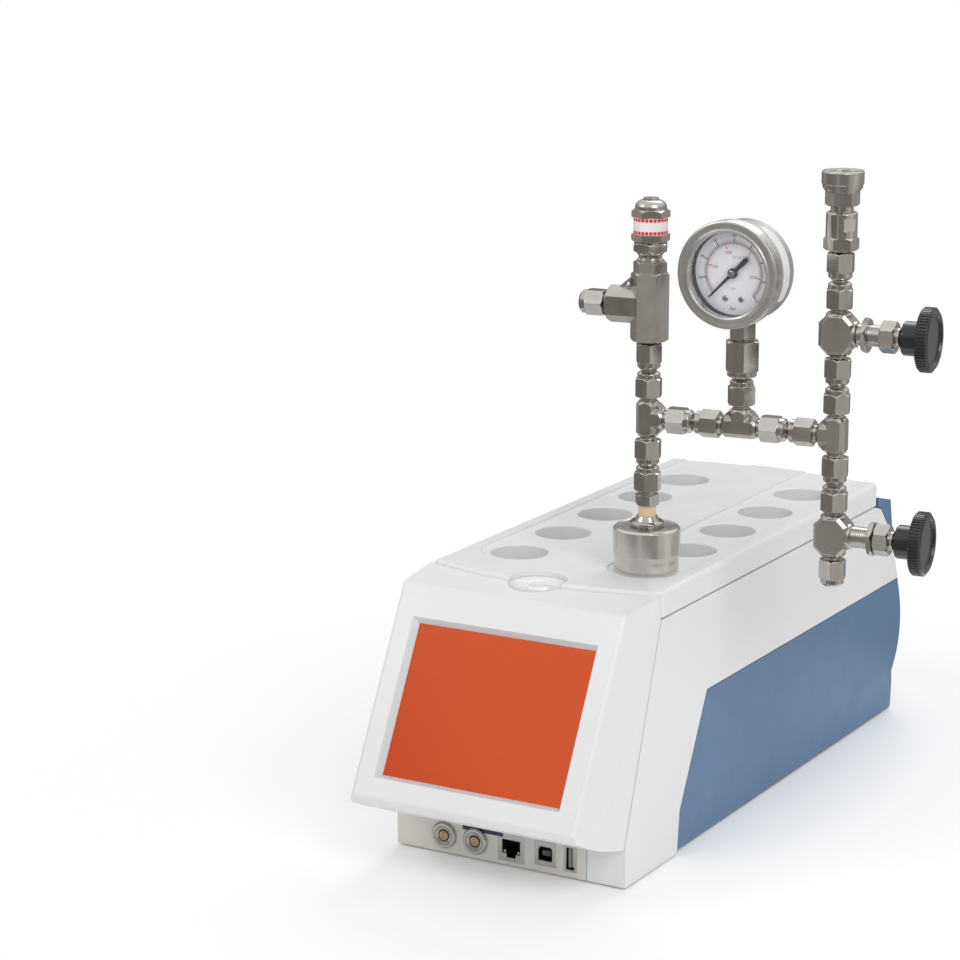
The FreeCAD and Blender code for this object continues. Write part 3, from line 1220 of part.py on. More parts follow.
def make_gauge_socket():
    foot = adapter_foot() + ADAPTER_HEIGHT
    case_foot = gauge_z() - GAUGE_CASE_RADIUS
    thread = rod(GAUGE_THREAD_RADIUS, foot - 8.6, foot + 0.9)
    block = chamfered_hexagon(GAUGE_STEM_HEX, foot + 0.8, case_foot + 0.6, 0, True, False)
    stem = rod(GAUGE_THREAD_RADIUS, case_foot, case_foot + 2 * GAUGE_THREAD_RADIUS)
    block = block.cut(facing_front(rod(GAUGE_CASE_RADIUS + 0.05, -GAUGE_CASE_RADIUS, GAUGE_CASE_RADIUS)))
    return on_gauge(fused([thread, block, stem]).cut(rod(1.6, foot - 10, case_foot + 6)))


# Quick coupler on top of the right branch

def make_coupler_body():
    foot = COUPLER_FOOT_Z
    collar = chamfered_hexagon(COUPLER_HEX, foot, foot + COUPLER_HEX_HEIGHT, 20, True, True)
    shoulder = foot + COUPLER_SHOULDER
    low, high = foot + COUPLER_HEAD[0], foot + COUPLER_HEAD[1]
    barrel = turned([(0, foot + 1), (COUPLER_RADIUS, foot + 1), (COUPLER_RADIUS, shoulder - 0.7),
                     (COUPLER_RADIUS - 0.7, shoulder), (COUPLER_NECK_RADIUS, shoulder), (COUPLER_NECK_RADIUS, low),
                     (COUPLER_HEAD_RADIUS, low + 2.2), (COUPLER_HEAD_RADIUS, high - 0.6),
                     (COUPLER_HEAD_RADIUS - 0.6, high), (0, high)])
    flats = []
    for side in (-1, 1):
        flat = box(COUPLER_FLAT, 20, -20, 20, foot + COUPLER_HEX_HEIGHT + 4, foot + COUPLER_SHOULDER - 3)
        flat.rotate(HERE, ALONG_Z, -40 if side > 0 else 140)
        flats.append(flat)
    inlet = moved(pointed(fitting_end(COUPLER_NECK_SHOWN, COUPLER_NECK_SHOWN), "down"), 0, 0, foot)
    shape = fused([collar, barrel.cut(Part.makeCompound(flats)), inlet])
    shape = shape.cut(moved(pointed(fitting_bore(COUPLER_NECK_SHOWN, -COUPLER_SHOULDER), "down"), 0, 0, foot))
    socket = rod(COUPLER_SOCKET_RADIUS, high - COUPLER_SOCKET_DEPTH, high + 1)
    return moved(shape.cut(socket), 2 * TEE_PITCH, 0, 0)


def make_coupler_sleeve():
    foot = COUPLER_FOOT_Z + SLEEVE_FOOT
    cone = foot + SLEEVE_HEX_HEIGHT
    top = COUPLER_FOOT_Z + SLEEVE_TOP
    grip = SLEEVE_RIM_RADIUS
    waist = SLEEVE_HEX / math.sqrt(3)
    lower = chamfered_hexagon(SLEEVE_HEX, foot, cone + 0.2, 20, True, False)
    flare = turned([(0, cone), (waist, cone), (waist, cone + 0.9), (waist + 0.6, cone + 1.1), (waist + 0.8, cone + 2.0),
                    (waist + 1.4, cone + 2.2), (grip - 0.5, cone + 4.2), (grip, cone + 4.8), (grip, top - 0.8),
                    (grip - 0.8, top), (0, top)])
    inner = COUPLER_NECK_RADIUS + SLEEVE_FIT
    chamber = COUPLER_HEAD_RADIUS + SLEEVE_FIT
    cavity = turned([(0, foot - 1), (inner, foot - 1), (inner, cone), (chamber, cone + 1.6), (chamber, top - 1.2),
                     (chamber + 1.2, top + 0.1), (chamber + 1.2, top + 1), (0, top + 1)])
    return moved(fused([lower, flare]).cut(cavity), 2 * TEE_PITCH, 0, 0)


# Assembly

def station_pieces():
    pieces = {
        "body_shell": make_body_shell(),
        "rear_casing": make_rear_casing(),
        "front_bezel": make_front_bezel(),
        "display_module": make_display_module(),
        "display_window": make_display_window(),
        "top_cover": make_top_cover(),
        "status_window": make_status_window(),
        "connector_plate": make_connector_plate(),
        "probe_sockets": make_probe_sockets(),
        "network_socket": make_network_socket(),
        "usb_b_socket": make_usb_b_socket(),
        "usb_a_socket": make_usb_a_socket(),
        "control_board": make_control_board(),
        "base_tray": make_base_tray(),
        "rubber_feet": make_rubber_feet(),
        "mains_inlet": make_mains_inlet(),
        "power_switch": make_power_switch(),
        "stirrer_units": make_stirrer_units(),
    }
    for index, (x, y) in enumerate(well_places()):
        pieces["heating_cell_%d" % (index + 1)] = make_heating_cell(x, y)
    return pieces


def reactor_pieces():
    pieces = {
        "reactor_vessel": make_reactor_vessel(),
        "vessel_head": make_vessel_head(),
        "head_seal": make_head_seal(),
        "head_ring": make_head_ring(),
        "head_collar": make_head_collar(),
        "head_connector": make_head_connector(),
        "left_tee": make_tee(0),
        "middle_tee": make_tee(1),
        "right_tee": make_tee(2),
        "compression_nuts": make_compression_nuts(),
        "vent_nut": make_vent_nut(),
        "inlet_nut": make_inlet_nut(),
        "link_tubes": make_link_tubes(),
        "relief_body": make_relief_body(),
        "relief_bonnet": make_relief_bonnet(),
        "relief_cap": make_relief_cap(),
        "gauge_adapter": make_gauge_adapter(),
        "gauge_socket": make_gauge_socket(),
        "gauge_case": make_gauge_case(),
        "gauge_bezel": make_gauge_bezel(),
        "gauge_window": make_gauge_window(),
        "gauge_dial": make_gauge_dial(),
        "gauge_pointer": make_gauge_pointer(),
        "bonnet_nuts": make_bonnet_nuts(),
        "coupler_body": make_coupler_body(),
        "coupler_sleeve": make_coupler_sleeve(),
    }
    for name in ("lower", "upper"):
        pieces[name + "_valve_body"] = make_valve_body(name)
        pieces[name + "_valve_stem"] = make_valve_stem(name)
        pieces[name + "_valve_handle"] = make_valve_handle(name)
    return pieces


def main():
    os.makedirs("parts", exist_ok=True)
    for name, shape in station_pieces().items():
        moved(shape, -ORIGIN_X, -ORIGIN_Y, 0).exportStep("parts/%s.step" % name)
    for name, shape in reactor_pieces().items():
        placed = shape.copy()
        placed.rotate(HERE, ALONG_Z, MANIFOLD_YAW)
        placed.translate(V(WELL_X - ORIGIN_X, WELL_FIRST_Y - ORIGIN_Y, 0))
        placed.exportStep("parts/%s.step" % name)


main()
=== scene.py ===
import json
import math

import bmesh
import bpy
from mathutils import Matrix, Vector


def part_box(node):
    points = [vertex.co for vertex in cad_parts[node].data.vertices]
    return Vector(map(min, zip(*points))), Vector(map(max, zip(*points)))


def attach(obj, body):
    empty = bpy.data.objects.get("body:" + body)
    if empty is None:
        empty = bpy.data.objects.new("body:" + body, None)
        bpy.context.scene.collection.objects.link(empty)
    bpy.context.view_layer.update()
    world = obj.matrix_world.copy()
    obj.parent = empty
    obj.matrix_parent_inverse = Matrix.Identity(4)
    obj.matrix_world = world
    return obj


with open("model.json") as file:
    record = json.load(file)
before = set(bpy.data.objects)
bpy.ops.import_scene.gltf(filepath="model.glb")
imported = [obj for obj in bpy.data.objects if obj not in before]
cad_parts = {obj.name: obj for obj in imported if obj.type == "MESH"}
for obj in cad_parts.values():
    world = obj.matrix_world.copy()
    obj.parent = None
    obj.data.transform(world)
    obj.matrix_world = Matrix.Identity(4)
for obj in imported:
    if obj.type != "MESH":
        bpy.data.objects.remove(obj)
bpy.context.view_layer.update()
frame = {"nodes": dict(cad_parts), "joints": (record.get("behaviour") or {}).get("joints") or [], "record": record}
nodes = frame["nodes"]
MM = 0.001

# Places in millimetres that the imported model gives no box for
FACE_SETBACK = 0.16
BEZEL_TO_AXIS = 18.5
PRINT_DEPTH = -13.46
HANDLE_TO_ROOT = 40
BAND_FOOT = 15.6
BAND_RADIUS = 9.91
LABEL_RADIUS = 28.88
POCKET_FRONT = 0.25
POCKET_DEPTH = 11.8
RIM_FRONT = -0.04

# The camera, solved from the photograph
PICTURE_PIXELS = 960.0
FOCAL_PIXELS = 2981.0
CAMERA_PLACE = (802.35, -1362.82, 611.62)
CAMERA_TARGET = (13.06, 0.0, 243.09)


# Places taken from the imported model

def centre(node):
    low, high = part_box(node)
    return (low + high) / 2


joint_place = {joint["name"]: joint for joint in frame["joints"]}
turn_axis = Vector(joint_place["lower_valve_turn"]["axis"]).normalized()
run_yaw = math.atan2(turn_axis.y, turn_axis.x)
side = Vector((math.cos(run_yaw), math.sin(run_yaw), 0))
rearward = Vector((0, 1, 0))
up = Vector((0, 0, 1))
face_low, face_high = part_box("front_bezel")
station_x = (face_low.x + face_high.x) / 2
front_y = face_low.y - FACE_SETBACK * MM
gauge_axis = centre("gauge_bezel") + rearward * (BEZEL_TO_AXIS * MM)


def station(x, y, z):
    return Vector((station_x + x * MM, front_y + y * MM, z * MM))


def gauge_place(x, height, depth):
    return gauge_axis + Vector((x, depth, height)) * MM


# Material building

class Graph:
    def __init__(self, name):
        self.material = bpy.data.materials.new(name)
        self.material.use_nodes = True
        self.tree = self.material.node_tree
        self.shader = self.tree.nodes["Principled BSDF"]
        self.place = self.add("ShaderNodeTexCoord").outputs["Object"]

    def add(self, kind, **values):
        node = self.tree.nodes.new(kind)
        for key, value in values.items():
            setattr(node, key, value)
        return node

    def link(self, output, target):
        self.tree.links.new(output, target)

    def set(self, **values):
        names = {"metallic": "Metallic", "roughness": "Roughness", "ior": "IOR", "coat": "Coat Weight",
                 "coat_roughness": "Coat Roughness", "specular": "Specular IOR Level", "alpha": "Alpha",
                 "strength": "Emission Strength", "brushed": "Anisotropic",
                 "brushed_turn": "Anisotropic Rotation"}
        for key, value in values.items():
            self.shader.inputs[names[key]].default_value = value

    def turned(self, turn):
        mapping = self.add("ShaderNodeMapping")
        mapping.inputs["Rotation"].default_value = turn
        self.link(self.place, mapping.inputs["Vector"])
        return mapping.outputs["Vector"]

    def noise(self, scale, detail=3.0, rough=0.5):
        node = self.add("ShaderNodeTexNoise")
        node.inputs["Scale"].default_value = scale
        node.inputs["Detail"].default_value = detail
        node.inputs["Roughness"].default_value = rough
        self.link(self.place, node.inputs["Vector"])
        return node.outputs["Fac"]

    def wave(self, scale, direction="Z", distortion=0.0, vector=None):
        node = self.add("ShaderNodeTexWave", wave_type="BANDS", bands_direction=direction)
        node.inputs["Scale"].default_value = scale
        node.inputs["Distortion"].default_value = distortion
        self.link(vector or self.place, node.inputs["Vector"])
        return node.outputs["Fac"]

    def ramp(self, source, stops):
        node = self.add("ShaderNodeValToRGB")
        elements = node.color_ramp.elements
        while len(elements) < len(stops):
            elements.new(0.5)
        for element, (position, color) in zip(elements, stops):
            element.position = position
            element.color = (*color, 1.0)
        self.link(source, node.inputs["Fac"])
        return node.outputs["Color"]

    def spread(self, source, low, high, start=0.0, end=1.0):
        node = self.add("ShaderNodeMapRange")
        node.inputs["From Min"].default_value = start
        node.inputs["From Max"].default_value = end
        node.inputs["To Min"].default_value = low
        node.inputs["To Max"].default_value = high
        self.link(source, node.inputs["Value"])
        return node.outputs["Result"]

    def maths(self, operation, first, second):
        node = self.add("ShaderNodeMath", operation=operation)
        for socket, value in zip(node.inputs, (first, second)):
            if isinstance(value, (int, float)):
                socket.default_value = value
            else:
                self.link(value, socket)
        return node.outputs["Value"]

    def mixed(self, factor, first, second):
        node = self.add("ShaderNodeMix", data_type="RGBA")
        self.link(factor, node.inputs["Factor"])
        for socket, value in zip((node.inputs[6], node.inputs[7]), (first, second)):
            if isinstance(value, tuple):
                socket.default_value = (*value, 1.0)
            else:
                self.link(value, socket)
        return node.outputs[2]

    def blended(self, factor, first, second):
        node = self.add("ShaderNodeMixShader")
        self.link(factor, node.inputs[0])
        self.link(first, node.inputs[1])
        self.link(second, node.inputs[2])
        return node.outputs[0]

    def glowing(self, color, strength):
        node = self.add("ShaderNodeEmission")
        node.inputs["Color"].default_value = (*color, 1.0)
        node.inputs["Strength"].default_value = strength
        return node.outputs[0]

    def finished(self, output):
        self.link(output, self.tree.nodes["Material Output"].inputs["Surface"])

    def seen_directly(self):
        """One for a ray from the camera, a gloss or glass, and zero for light on the object."""
        path = self.add("ShaderNodeLightPath")
        seen = self.maths("MAXIMUM", path.outputs["Is Camera Ray"], path.outputs["Is Glossy Ray"])
        return self.maths("MAXIMUM", seen, path.outputs["Is Transmission Ray"])

    def relief(self, heights, round_edges=0.0):
        """Stacks bumps (height output, distance in metres, strength) on a softened edge normal."""
        normal = None
        if round_edges:
            soft = self.add("ShaderNodeBevel", samples=4)
            soft.inputs["Radius"].default_value = round_edges
            normal = soft.outputs["Normal"]
        for height, distance, strength in heights:
            bump = self.add("ShaderNodeBump")
            bump.inputs["Distance"].default_value = distance
            bump.inputs["Strength"].default_value = strength
            self.link(height, bump.inputs["Height"])
            if normal:
                self.link(normal, bump.inputs["Normal"])
            normal = bump.outputs["Normal"]
        if normal:
            self.link(normal, self.shader.inputs["Normal"])

    # Painted highlight: a pointiness mask that picks out sharp convex edges so their colour can be lightened
    def worn(self, low=0.52, high=0.58):
        edge = self.add("ShaderNodeNewGeometry").outputs["Pointiness"]
        return self.spread(edge, 0.0, 1.0, low, high)


def moulded(name, color, rough=0.42, grain=2600.0, depth=0.00002, edge=0.0007, shade=0.04, coat=0.0):
    g = Graph(name)
    dark = tuple(c * (1 - shade) for c in color)
    light = tuple(min(1.0, c * (1 + shade * 0.6)) for c in color)
    cloud = g.noise(9.0, 4.0)
    speck = g.noise(grain, 2.0, 0.6)
    g.link(g.mixed(g.spread(cloud, 0.0, 1.0, 0.3, 0.7), dark, light), g.shader.inputs["Base Color"])
    base = g.spread(g.noise(60.0, 3.0), rough - 0.04, rough + 0.05, 0.3, 0.7)
    g.link(g.maths("ADD", base, g.spread(speck, -0.03, 0.03)), g.shader.inputs["Roughness"])
    g.relief([(g.noise(35.0, 2.0), 0.00012, 0.05), (speck, depth, 0.25)], edge)
    g.set(coat=coat, coat_roughness=0.25)
    return g.material


def steel(name, color=(0.52, 0.495, 0.47), rough=0.16, lines="Z", line_scale=1400.0, forged=0.0,
          edge=0.0005, spin=None, metallic=1.0):
    """Tool lines go across an axis or the run of the manifold; spin is the axis of a brushed turning."""
    g = Graph(name)
    place = g.place
    if lines == "run":
        place = g.turned((0, 0, -run_yaw))
        lines = "X"
    cloud = g.noise(70.0, 4.0, 0.6)
    dark = tuple(c * k for c, k in zip(color, (0.88, 0.865, 0.85)))
    light = tuple(min(1.0, c * 1.06) for c in color)
    tone = g.mixed(g.spread(cloud, 0.0, 1.0, 0.3, 0.7), dark, color)
    # Painted highlight: sharp edges are mixed toward the lighter copy of the colour (light), standing in for edge
    # glints
    g.link(g.mixed(g.worn(), tone, light), g.shader.inputs["Base Color"])
    streak = g.wave(line_scale, lines, 1.5, place)
    gloss = g.spread(cloud, rough - 0.04, rough + 0.07, 0.3, 0.7)
    fine = g.spread(g.noise(700.0, 2.0, 0.5), -0.012, 0.012, 0.3, 0.7)
    g.link(g.maths("ADD", gloss, fine), g.shader.inputs["Roughness"])
    heights = [(streak, 0.000003, 0.2)]
    if forged:
        heights.append((g.noise(220.0, 2.0, 0.5), 0.00004, forged))
    g.relief(heights, edge)
    g.set(metallic=metallic)
    if spin:
        g.link(g.add("ShaderNodeTangent", direction_type="RADIAL", axis=spin).outputs[0],
               g.shader.inputs["Tangent"])
        g.set(brushed=0.4, brushed_turn=0.25)
    return g.material


def plain_metal(name, color, rough, metallic=1.0):
    g = Graph(name)
    cloud = g.noise(120.0, 3.0)
    g.link(g.mixed(cloud, tuple(c * 0.88 for c in color), color), g.shader.inputs["Base Color"])
    g.link(g.spread(cloud, rough - 0.05, rough + 0.06), g.shader.inputs["Roughness"])
    g.relief([(g.noise(1500.0, 2.0), 0.000005, 0.3)], 0.0002)
    g.set(metallic=metallic)
    return g.material


def screen_material():
    g = Graph("display_panel")
    low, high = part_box("display_window")
    across = g.add("ShaderNodeSeparateXYZ")
    g.link(g.place, across.inputs["Vector"])
    sideways = g.spread(across.outputs["X"], 0.0, 1.0, low.x, high.x)
    upward = g.spread(across.outputs["Z"], 0.0, 1.0, low.z, high.z)
    slant = g.maths("ADD", g.maths("MULTIPLY", sideways, 0.65), g.maths("MULTIPLY", upward, 0.35))
    glow = g.ramp(slant, [(0.0, (0.55, 0.060, 0.008)), (0.5, (0.62, 0.083, 0.016)),
                          (1.0, (0.63, 0.084, 0.017))])
    columns = g.wave(2600.0, "X")
    rows = g.wave(2600.0, "Z")
    cells = g.spread(g.maths("MULTIPLY", columns, rows), 0.93, 1.04)
    mottle = g.spread(g.noise(900.0, 3.0, 0.6), 0.96, 1.04, 0.3, 0.7)
    panel = g.add("ShaderNodeMix", data_type="RGBA", blend_type="MULTIPLY")
    panel.inputs["Factor"].default_value = 1.0
    g.link(glow, panel.inputs[6])
    g.link(g.maths("MULTIPLY", cells, mottle), panel.inputs[7])
    g.link(panel.outputs[2], g.shader.inputs["Emission Color"])
    ground = g.mixed(g.noise(40.0, 2.0), (0.012, 0.006, 0.005), (0.018, 0.008, 0.006))
    g.link(ground, g.shader.inputs["Base Color"])
    g.link(g.spread(g.noise(300.0, 3.0), 0.26, 0.36), g.shader.inputs["Roughness"])
    g.set(strength=1.0, specular=0.15)
    return g.material


def glass_material():
    g = Graph("gauge_glass")
    tint = g.mixed(g.noise(30.0, 2.0), (0.66, 0.70, 0.74), (0.70, 0.73, 0.76))
    g.link(tint, g.shader.inputs["Base Color"])
    g.link(g.spread(g.noise(160.0, 3.0), 0.02, 0.06, 0.45, 0.8), g.shader.inputs["Roughness"])
    g.set(alpha=0.035, ior=1.5)
    return g.material


white_shell = moulded("white_moulding", (0.80, 0.80, 0.805), 0.40)
casing_blue = moulded("blue_casing_plastic", (0.098, 0.186, 0.325), 0.46, 2200.0, 0.00003, 0.0008, 0.08)
panel_grey = moulded("panel_plastic", (0.73, 0.705, 0.655), 0.45)
status_white = moulded("status_dish", (0.83, 0.83, 0.83), 0.16, 900.0, 0.00001, 0.0010, 0.03, 0.5)
black_plastic = moulded("black_plastic", (0.022, 0.022, 0.024), 0.38, 1800.0, 0.00002, 0.0004, 0.15)
phenolic = moulded("phenolic", (0.011, 0.011, 0.012), 0.22, 1500.0, 0.00001, 0.0005, 0.2, 0.4)
socket_pale = plain_metal("socket_nickel", (0.46, 0.45, 0.43), 0.28)
socket_dark = moulded("socket_black", (0.014, 0.013, 0.013), 0.45, 1800.0, 0.00001, 0.0002, 0.15)
contact_bronze = plain_metal("contact_bronze", (0.48, 0.36, 0.22), 0.36)
stainless = steel("machined_stainless")
stainless_run = steel("machined_stainless_run", lines="run")
forged_steel = steel("forged_stainless", (0.48, 0.455, 0.43), 0.24, forged=0.08, edge=0.0008)
body_steel = steel("relief_stainless", (0.50, 0.475, 0.45), 0.22, edge=0.0005)
turned_steel = steel("turned_stainless", (0.50, 0.48, 0.455), 0.22, line_scale=900.0)
head_steel = steel("brushed_head", (0.62, 0.60, 0.57), 0.24, line_scale=700.0, edge=0.0004, spin="Z",
                   metallic=0.9)
gauge_steel = steel("gauge_stainless", (0.58, 0.57, 0.56), 0.24, lines="Y", line_scale=900.0, edge=0.0005,
                    metallic=0.9)
bezel_steel = steel("gauge_bezel_satin", (0.62, 0.61, 0.60), 0.26, lines="Y", edge=0.0003, spin="Y",
                    metallic=0.85)
polished = steel("polished_ring", (0.46, 0.44, 0.41), 0.08, edge=0.0004)
aluminium = plain_metal("cell_aluminium", (0.88, 0.88, 0.87), 0.55, 0.1)
sheet_steel = plain_metal("zinc_sheet", (0.55, 0.56, 0.57), 0.38)
rubber = moulded("rubber_feet", (0.02, 0.02, 0.02), 0.75, 900.0, 0.00004, 0.0005, 0.2)
seal = moulded("seal_polymer", (0.80, 0.79, 0.76), 0.4)
collar_tan = moulded("collar_polymer", (0.74, 0.56, 0.34), 0.34, 1800.0, 0.00001, 0.0003, 0.12)
dial_white = moulded("dial_enamel", (0.84, 0.835, 0.88), 0.5, 900.0, 0.00001, 0.0, 0.03)
pointer_black = moulded("pointer_paint", (0.010, 0.010, 0.011), 0.45, 900.0, 0.00001, 0.0002, 0.1)
board_green = moulded("solder_mask", (0.02, 0.16, 0.06), 0.3, 900.0, 0.00001, 0.0, 0.2)

finish = {
    "white_shell": white_shell, "blue_casing": casing_blue, "display_glass": screen_material(),
    "black_plastic": black_plastic, "frosted_lens": status_white, "grey_panel": panel_grey,
    "grey_socket": socket_pale, "plated_steel": socket_pale, "circuit_board": board_green,
    "steel_sheet": sheet_steel, "rubber": rubber, "cell_aluminium": aluminium, "stainless": stainless,
    "stainless_turned": turned_steel, "seal_white": seal, "tan_polymer": collar_tan,
    "clear_glass": glass_material(), "dial_white": dial_white, "pointer_black": pointer_black,
    "handle_black": phenolic,
}
special = {
    "left_tee": forged_steel, "middle_tee": forged_steel, "right_tee": forged_steel,
    "lower_valve_body": forged_steel, "upper_valve_body": forged_steel, "bonnet_nuts": stainless_run,
    "relief_body": body_steel, "gauge_case": gauge_steel, "gauge_bezel": bezel_steel, "head_ring": polished,
    "vessel_head": head_steel,
}
node_slot = {part["node"]: part["material_slot"] for part in frame["record"]["subparts"]}


def dress(node, material):
    mesh = nodes[node].data
    if not mesh.materials:
        mesh.materials.append(material)
    for slot in nodes[node].material_slots:
        slot.material = material


for name in nodes:
    dress(name, special.get(name) or finish[node_slot[name]])


# Pieces made here

def add_piece(name, mesh, material, body="station"):
    piece = bpy.data.objects.new(name, mesh)
    bpy.context.scene.collection.objects.link(piece)
    mesh.materials.clear()
    mesh.materials.append(material)
    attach(piece, body)
    return piece


def lathe(outline, steps=96):
    """Turns (radius, height) points in millimetres about Z."""
    shape = bmesh.new()
    rings = []
    for radius, height in outline:
        ring = [shape.verts.new((radius * MM * math.cos(2 * math.pi * i / steps),
                                 radius * MM * math.sin(2 * math.pi * i / steps), height * MM))
                for i in range(steps)]
        rings.append(ring)
    for lower, upper in zip(rings, rings[1:]):
        for i in range(steps):
            j = (i + 1) % steps
            shape.faces.new((lower[i], lower[j], upper[j], upper[i]))
    return shape


def thread(radius, start, end, pitch, depth, steps=40):
    """A sleeve with a helical ridge, along Z, in millimetres."""
    shape = bmesh.new()
    per_turn = 4
    levels = int((end - start) / pitch * per_turn) + 1
    rings = []
    for level in range(levels + 1):
        height = start + (end - start) * level / levels
        ring = []
        for i in range(steps):
            phase = (height - start) / pitch - i / steps
            crest = abs((phase % 1.0) * 2 - 1)
            r = radius + depth * (crest - 0.5)
            angle = 2 * math.pi * i / steps
            ring.append(shape.verts.new((r * MM * math.cos(angle), r * MM * math.sin(angle), height * MM)))
        rings.append(ring)
    for lower, upper in zip(rings, rings[1:]):
        for i in range(steps):
            j = (i + 1) % steps
            shape.faces.new((lower[i], lower[j], upper[j], upper[i]))
    return shape


def to_mesh(shape, name, matrix=None, smooth=True):
    mesh = bpy.data.meshes.new(name)
    if matrix:
        shape.transform(matrix)
    shape.normal_update()
    shape.to_mesh(mesh)
    shape.free()
    for polygon in mesh.polygons:
        polygon.use_smooth = smooth
    if smooth:
        mesh.set_sharp_from_angle(angle=math.radians(38))
    return mesh


def pointing(place, direction):
    """A matrix that takes Z to a direction and the zero point to a place."""
    turn = Vector((0, 0, 1)).rotation_difference(Vector(direction)).to_matrix().to_4x4()
    return Matrix.Translation(place) @ turn


def add_lathe(name, outline, place, direction, material, body="station"):
    return add_piece(name, to_mesh(lathe(outline), name, pointing(place, direction)), material, body)


def bevelled_box(size, bevel):
    shape = bmesh.new()
    bmesh.ops.create_cube(shape, size=1.0)
    bmesh.ops.scale(shape, vec=Vector(size) * MM, verts=shape.verts)
    bmesh.ops.bevel(shape, geom=shape.edges[:], offset=bevel * MM, segments=2, affect="EDGES")
    return shape


def add_box(name, size, place, bevel, material):
    shape = bevelled_box(size, bevel)
    return add_piece(name, to_mesh(shape, name, Matrix.Translation(place)), material, "station")


def text_mesh(words, size, place, matrix):
    """Flat letters centred on a place in a dial's own plane, as an unlinked mesh."""
    curve = bpy.data.curves.new("letters", "FONT")
    curve.body = words
    curve.size = size * MM
    curve.align_x = "CENTER"
    curve.align_y = "CENTER"
    curve.extrude = 0.0
    curve.resolution_u = 4
    source = bpy.data.objects.new("letters", curve)
    bpy.context.scene.collection.objects.link(source)
    source.matrix_world = matrix @ Matrix.Translation(Vector((place[0] * MM, place[1] * MM, 0)))
    bpy.context.view_layer.update()
    mesh = bpy.data.meshes.new_from_object(source.evaluated_get(bpy.context.evaluated_depsgraph_get()))
    mesh.transform(source.matrix_world)
    bpy.data.objects.remove(source)
    return mesh


def paint(name, color, rough=0.5):
    return moulded(name, color, rough, 1500.0, 0.00001, 0.0, 0.06)


ink_black = paint("ink_black", (0.012, 0.012, 0.014))
ink_red = paint("ink_red", (0.66, 0.035, 0.05))
paper = paint("label_paper", (0.80, 0.80, 0.79), 0.42)


# Gauge

def dial_bar(shape, angle, inner, outer, width):
    ray = Vector((math.cos(angle), math.sin(angle)))
    normal = Vector((-ray.y, ray.x)) * (width / 2)
    corners = [ray * inner - normal, ray * outer - normal, ray * outer + normal, ray * inner + normal]
    shape.faces.new([shape.verts.new((c.x * MM, c.y * MM, 0)) for c in corners])


def dial_arc(shape, start, end, inner, outer, steps=90):
    rows = []
    for i in range(steps + 1):
        angle = start + (end - start) * i / steps
        rows.append([shape.verts.new((r * MM * math.cos(angle), r * MM * math.sin(angle), 0))
                     for r in (inner, outer)])
    for a, b in zip(rows, rows[1:]):
        shape.faces.new((a[0], a[1], b[1], b[0]))


def dial_scale(name, material, matrix, major, minor, top, foot, tip, short, arc, numbers, words):
    """A scale of bars from foot to tip, with short ones between, an arc and flat words."""
    shape = bmesh.new()
    start, sweep = math.radians(225), math.radians(270)
    for i in range(int(round(top / minor)) + 1):
        value = i * minor
        angle = start - sweep * value / top
        is_major = abs(value / major - round(value / major)) < 1e-6
        dial_bar(shape, angle, foot, tip if is_major else short, 0.60 if is_major else 0.30)
    dial_arc(shape, start, start - sweep, *arc)
    shape.transform(matrix)
    radius, size, values = numbers
    for value in values:
        angle = start - sweep * value / top
        spot = (radius * math.cos(angle), radius * math.sin(angle))
        shape.from_mesh(text_mesh(str(value), size, spot, matrix))
    for word, size, spot in words:
        shape.from_mesh(text_mesh(word, size, spot, matrix))
    add_piece(name, to_mesh(shape, name, None, False), material, "station")


def make_gauge():
    front = -rearward
    turn = Matrix.Rotation(math.radians(90), 4, "X")
    print_plane = Matrix.Translation(gauge_place(0, 0, PRINT_DEPTH)) @ turn
    dial_scale("dial_scale_outer", ink_black, print_plane, 20, 2, 160, 16.9, 19.6, 18.5, (16.75, 17.05),
               (21.2, 2.6, range(20, 161, 20)), [("bar", 3.0, (0, -20.0)), ("CL 1.6", 1.9, (1.6, 9.0))])
    dial_scale("dial_scale_inner", ink_red, print_plane, 500, 50, 2320, 16.5, 14.0, 15.2, (16.42, 16.5),
               (11.8, 2.5, range(500, 2001, 500)), [("psi", 2.3, (0, -8.6))])
    add_lathe("bezel_face", [(23.75, 19.2), (23.75, 22.5), (24.05, 23.5), (24.8, 23.95), (25.5, 23.8),
                             (25.85, 23.25), (26.4, 23.08), (28.4, 23.4), (29.5, 23.5), (30.25, 23.1),
                             (30.62, 22.1), (30.62, 14.2)],
              gauge_axis, front, bezel_steel)
    # Painted shadow: a black ring on the inner wall between window and dial, standing in for the shaded gap at the
    # dial's edge
    add_lathe("dial_edge_shadow_ring", [(24.05, 13.5), (23.7, 13.5), (23.7, 16.6), (24.05, 16.6)], gauge_axis, front,
              black_plastic)
    add_lathe("pointer_cap", [(1.95, 16.4), (1.9, 16.75), (1.5, 16.98), (0.01, 17.04)], gauge_axis, front,
              polished, "pointer")
    for i, x in enumerate((-4.8, 4.8)):
        head = [(1.62, 13.4), (1.62, 14.0), (1.3, 14.28), (0.55, 14.32), (0.45, 14.1), (0.01, 14.1)]
        add_lathe("dial_screw_%d" % i, head, gauge_place(x, -14.6, 0), front, polished)
    strip = bmesh.new()
    steps = 36
    rows = []
    for i in range(steps + 1):
        angle = math.radians(64 - 96 * i / steps)
        taper = 2.6 * max(0.0, 1 - i / 7)
        x, height = LABEL_RADIUS * math.cos(angle), LABEL_RADIUS * math.sin(angle)
        rows.append([strip.verts.new(gauge_place(x, height, depth))
                     for depth in (-10.2 + taper, -6.0, -1.6 - taper * 0.4)])
    for a, b in zip(rows, rows[1:]):
        strip.faces.new((a[0], a[1], b[1], b[0]))
        strip.faces.new((a[1], a[2], b[2], b[1]))
    add_piece("case_label", to_mesh(strip, "case_label"), paper)


# Threads that show between nuts and bodies

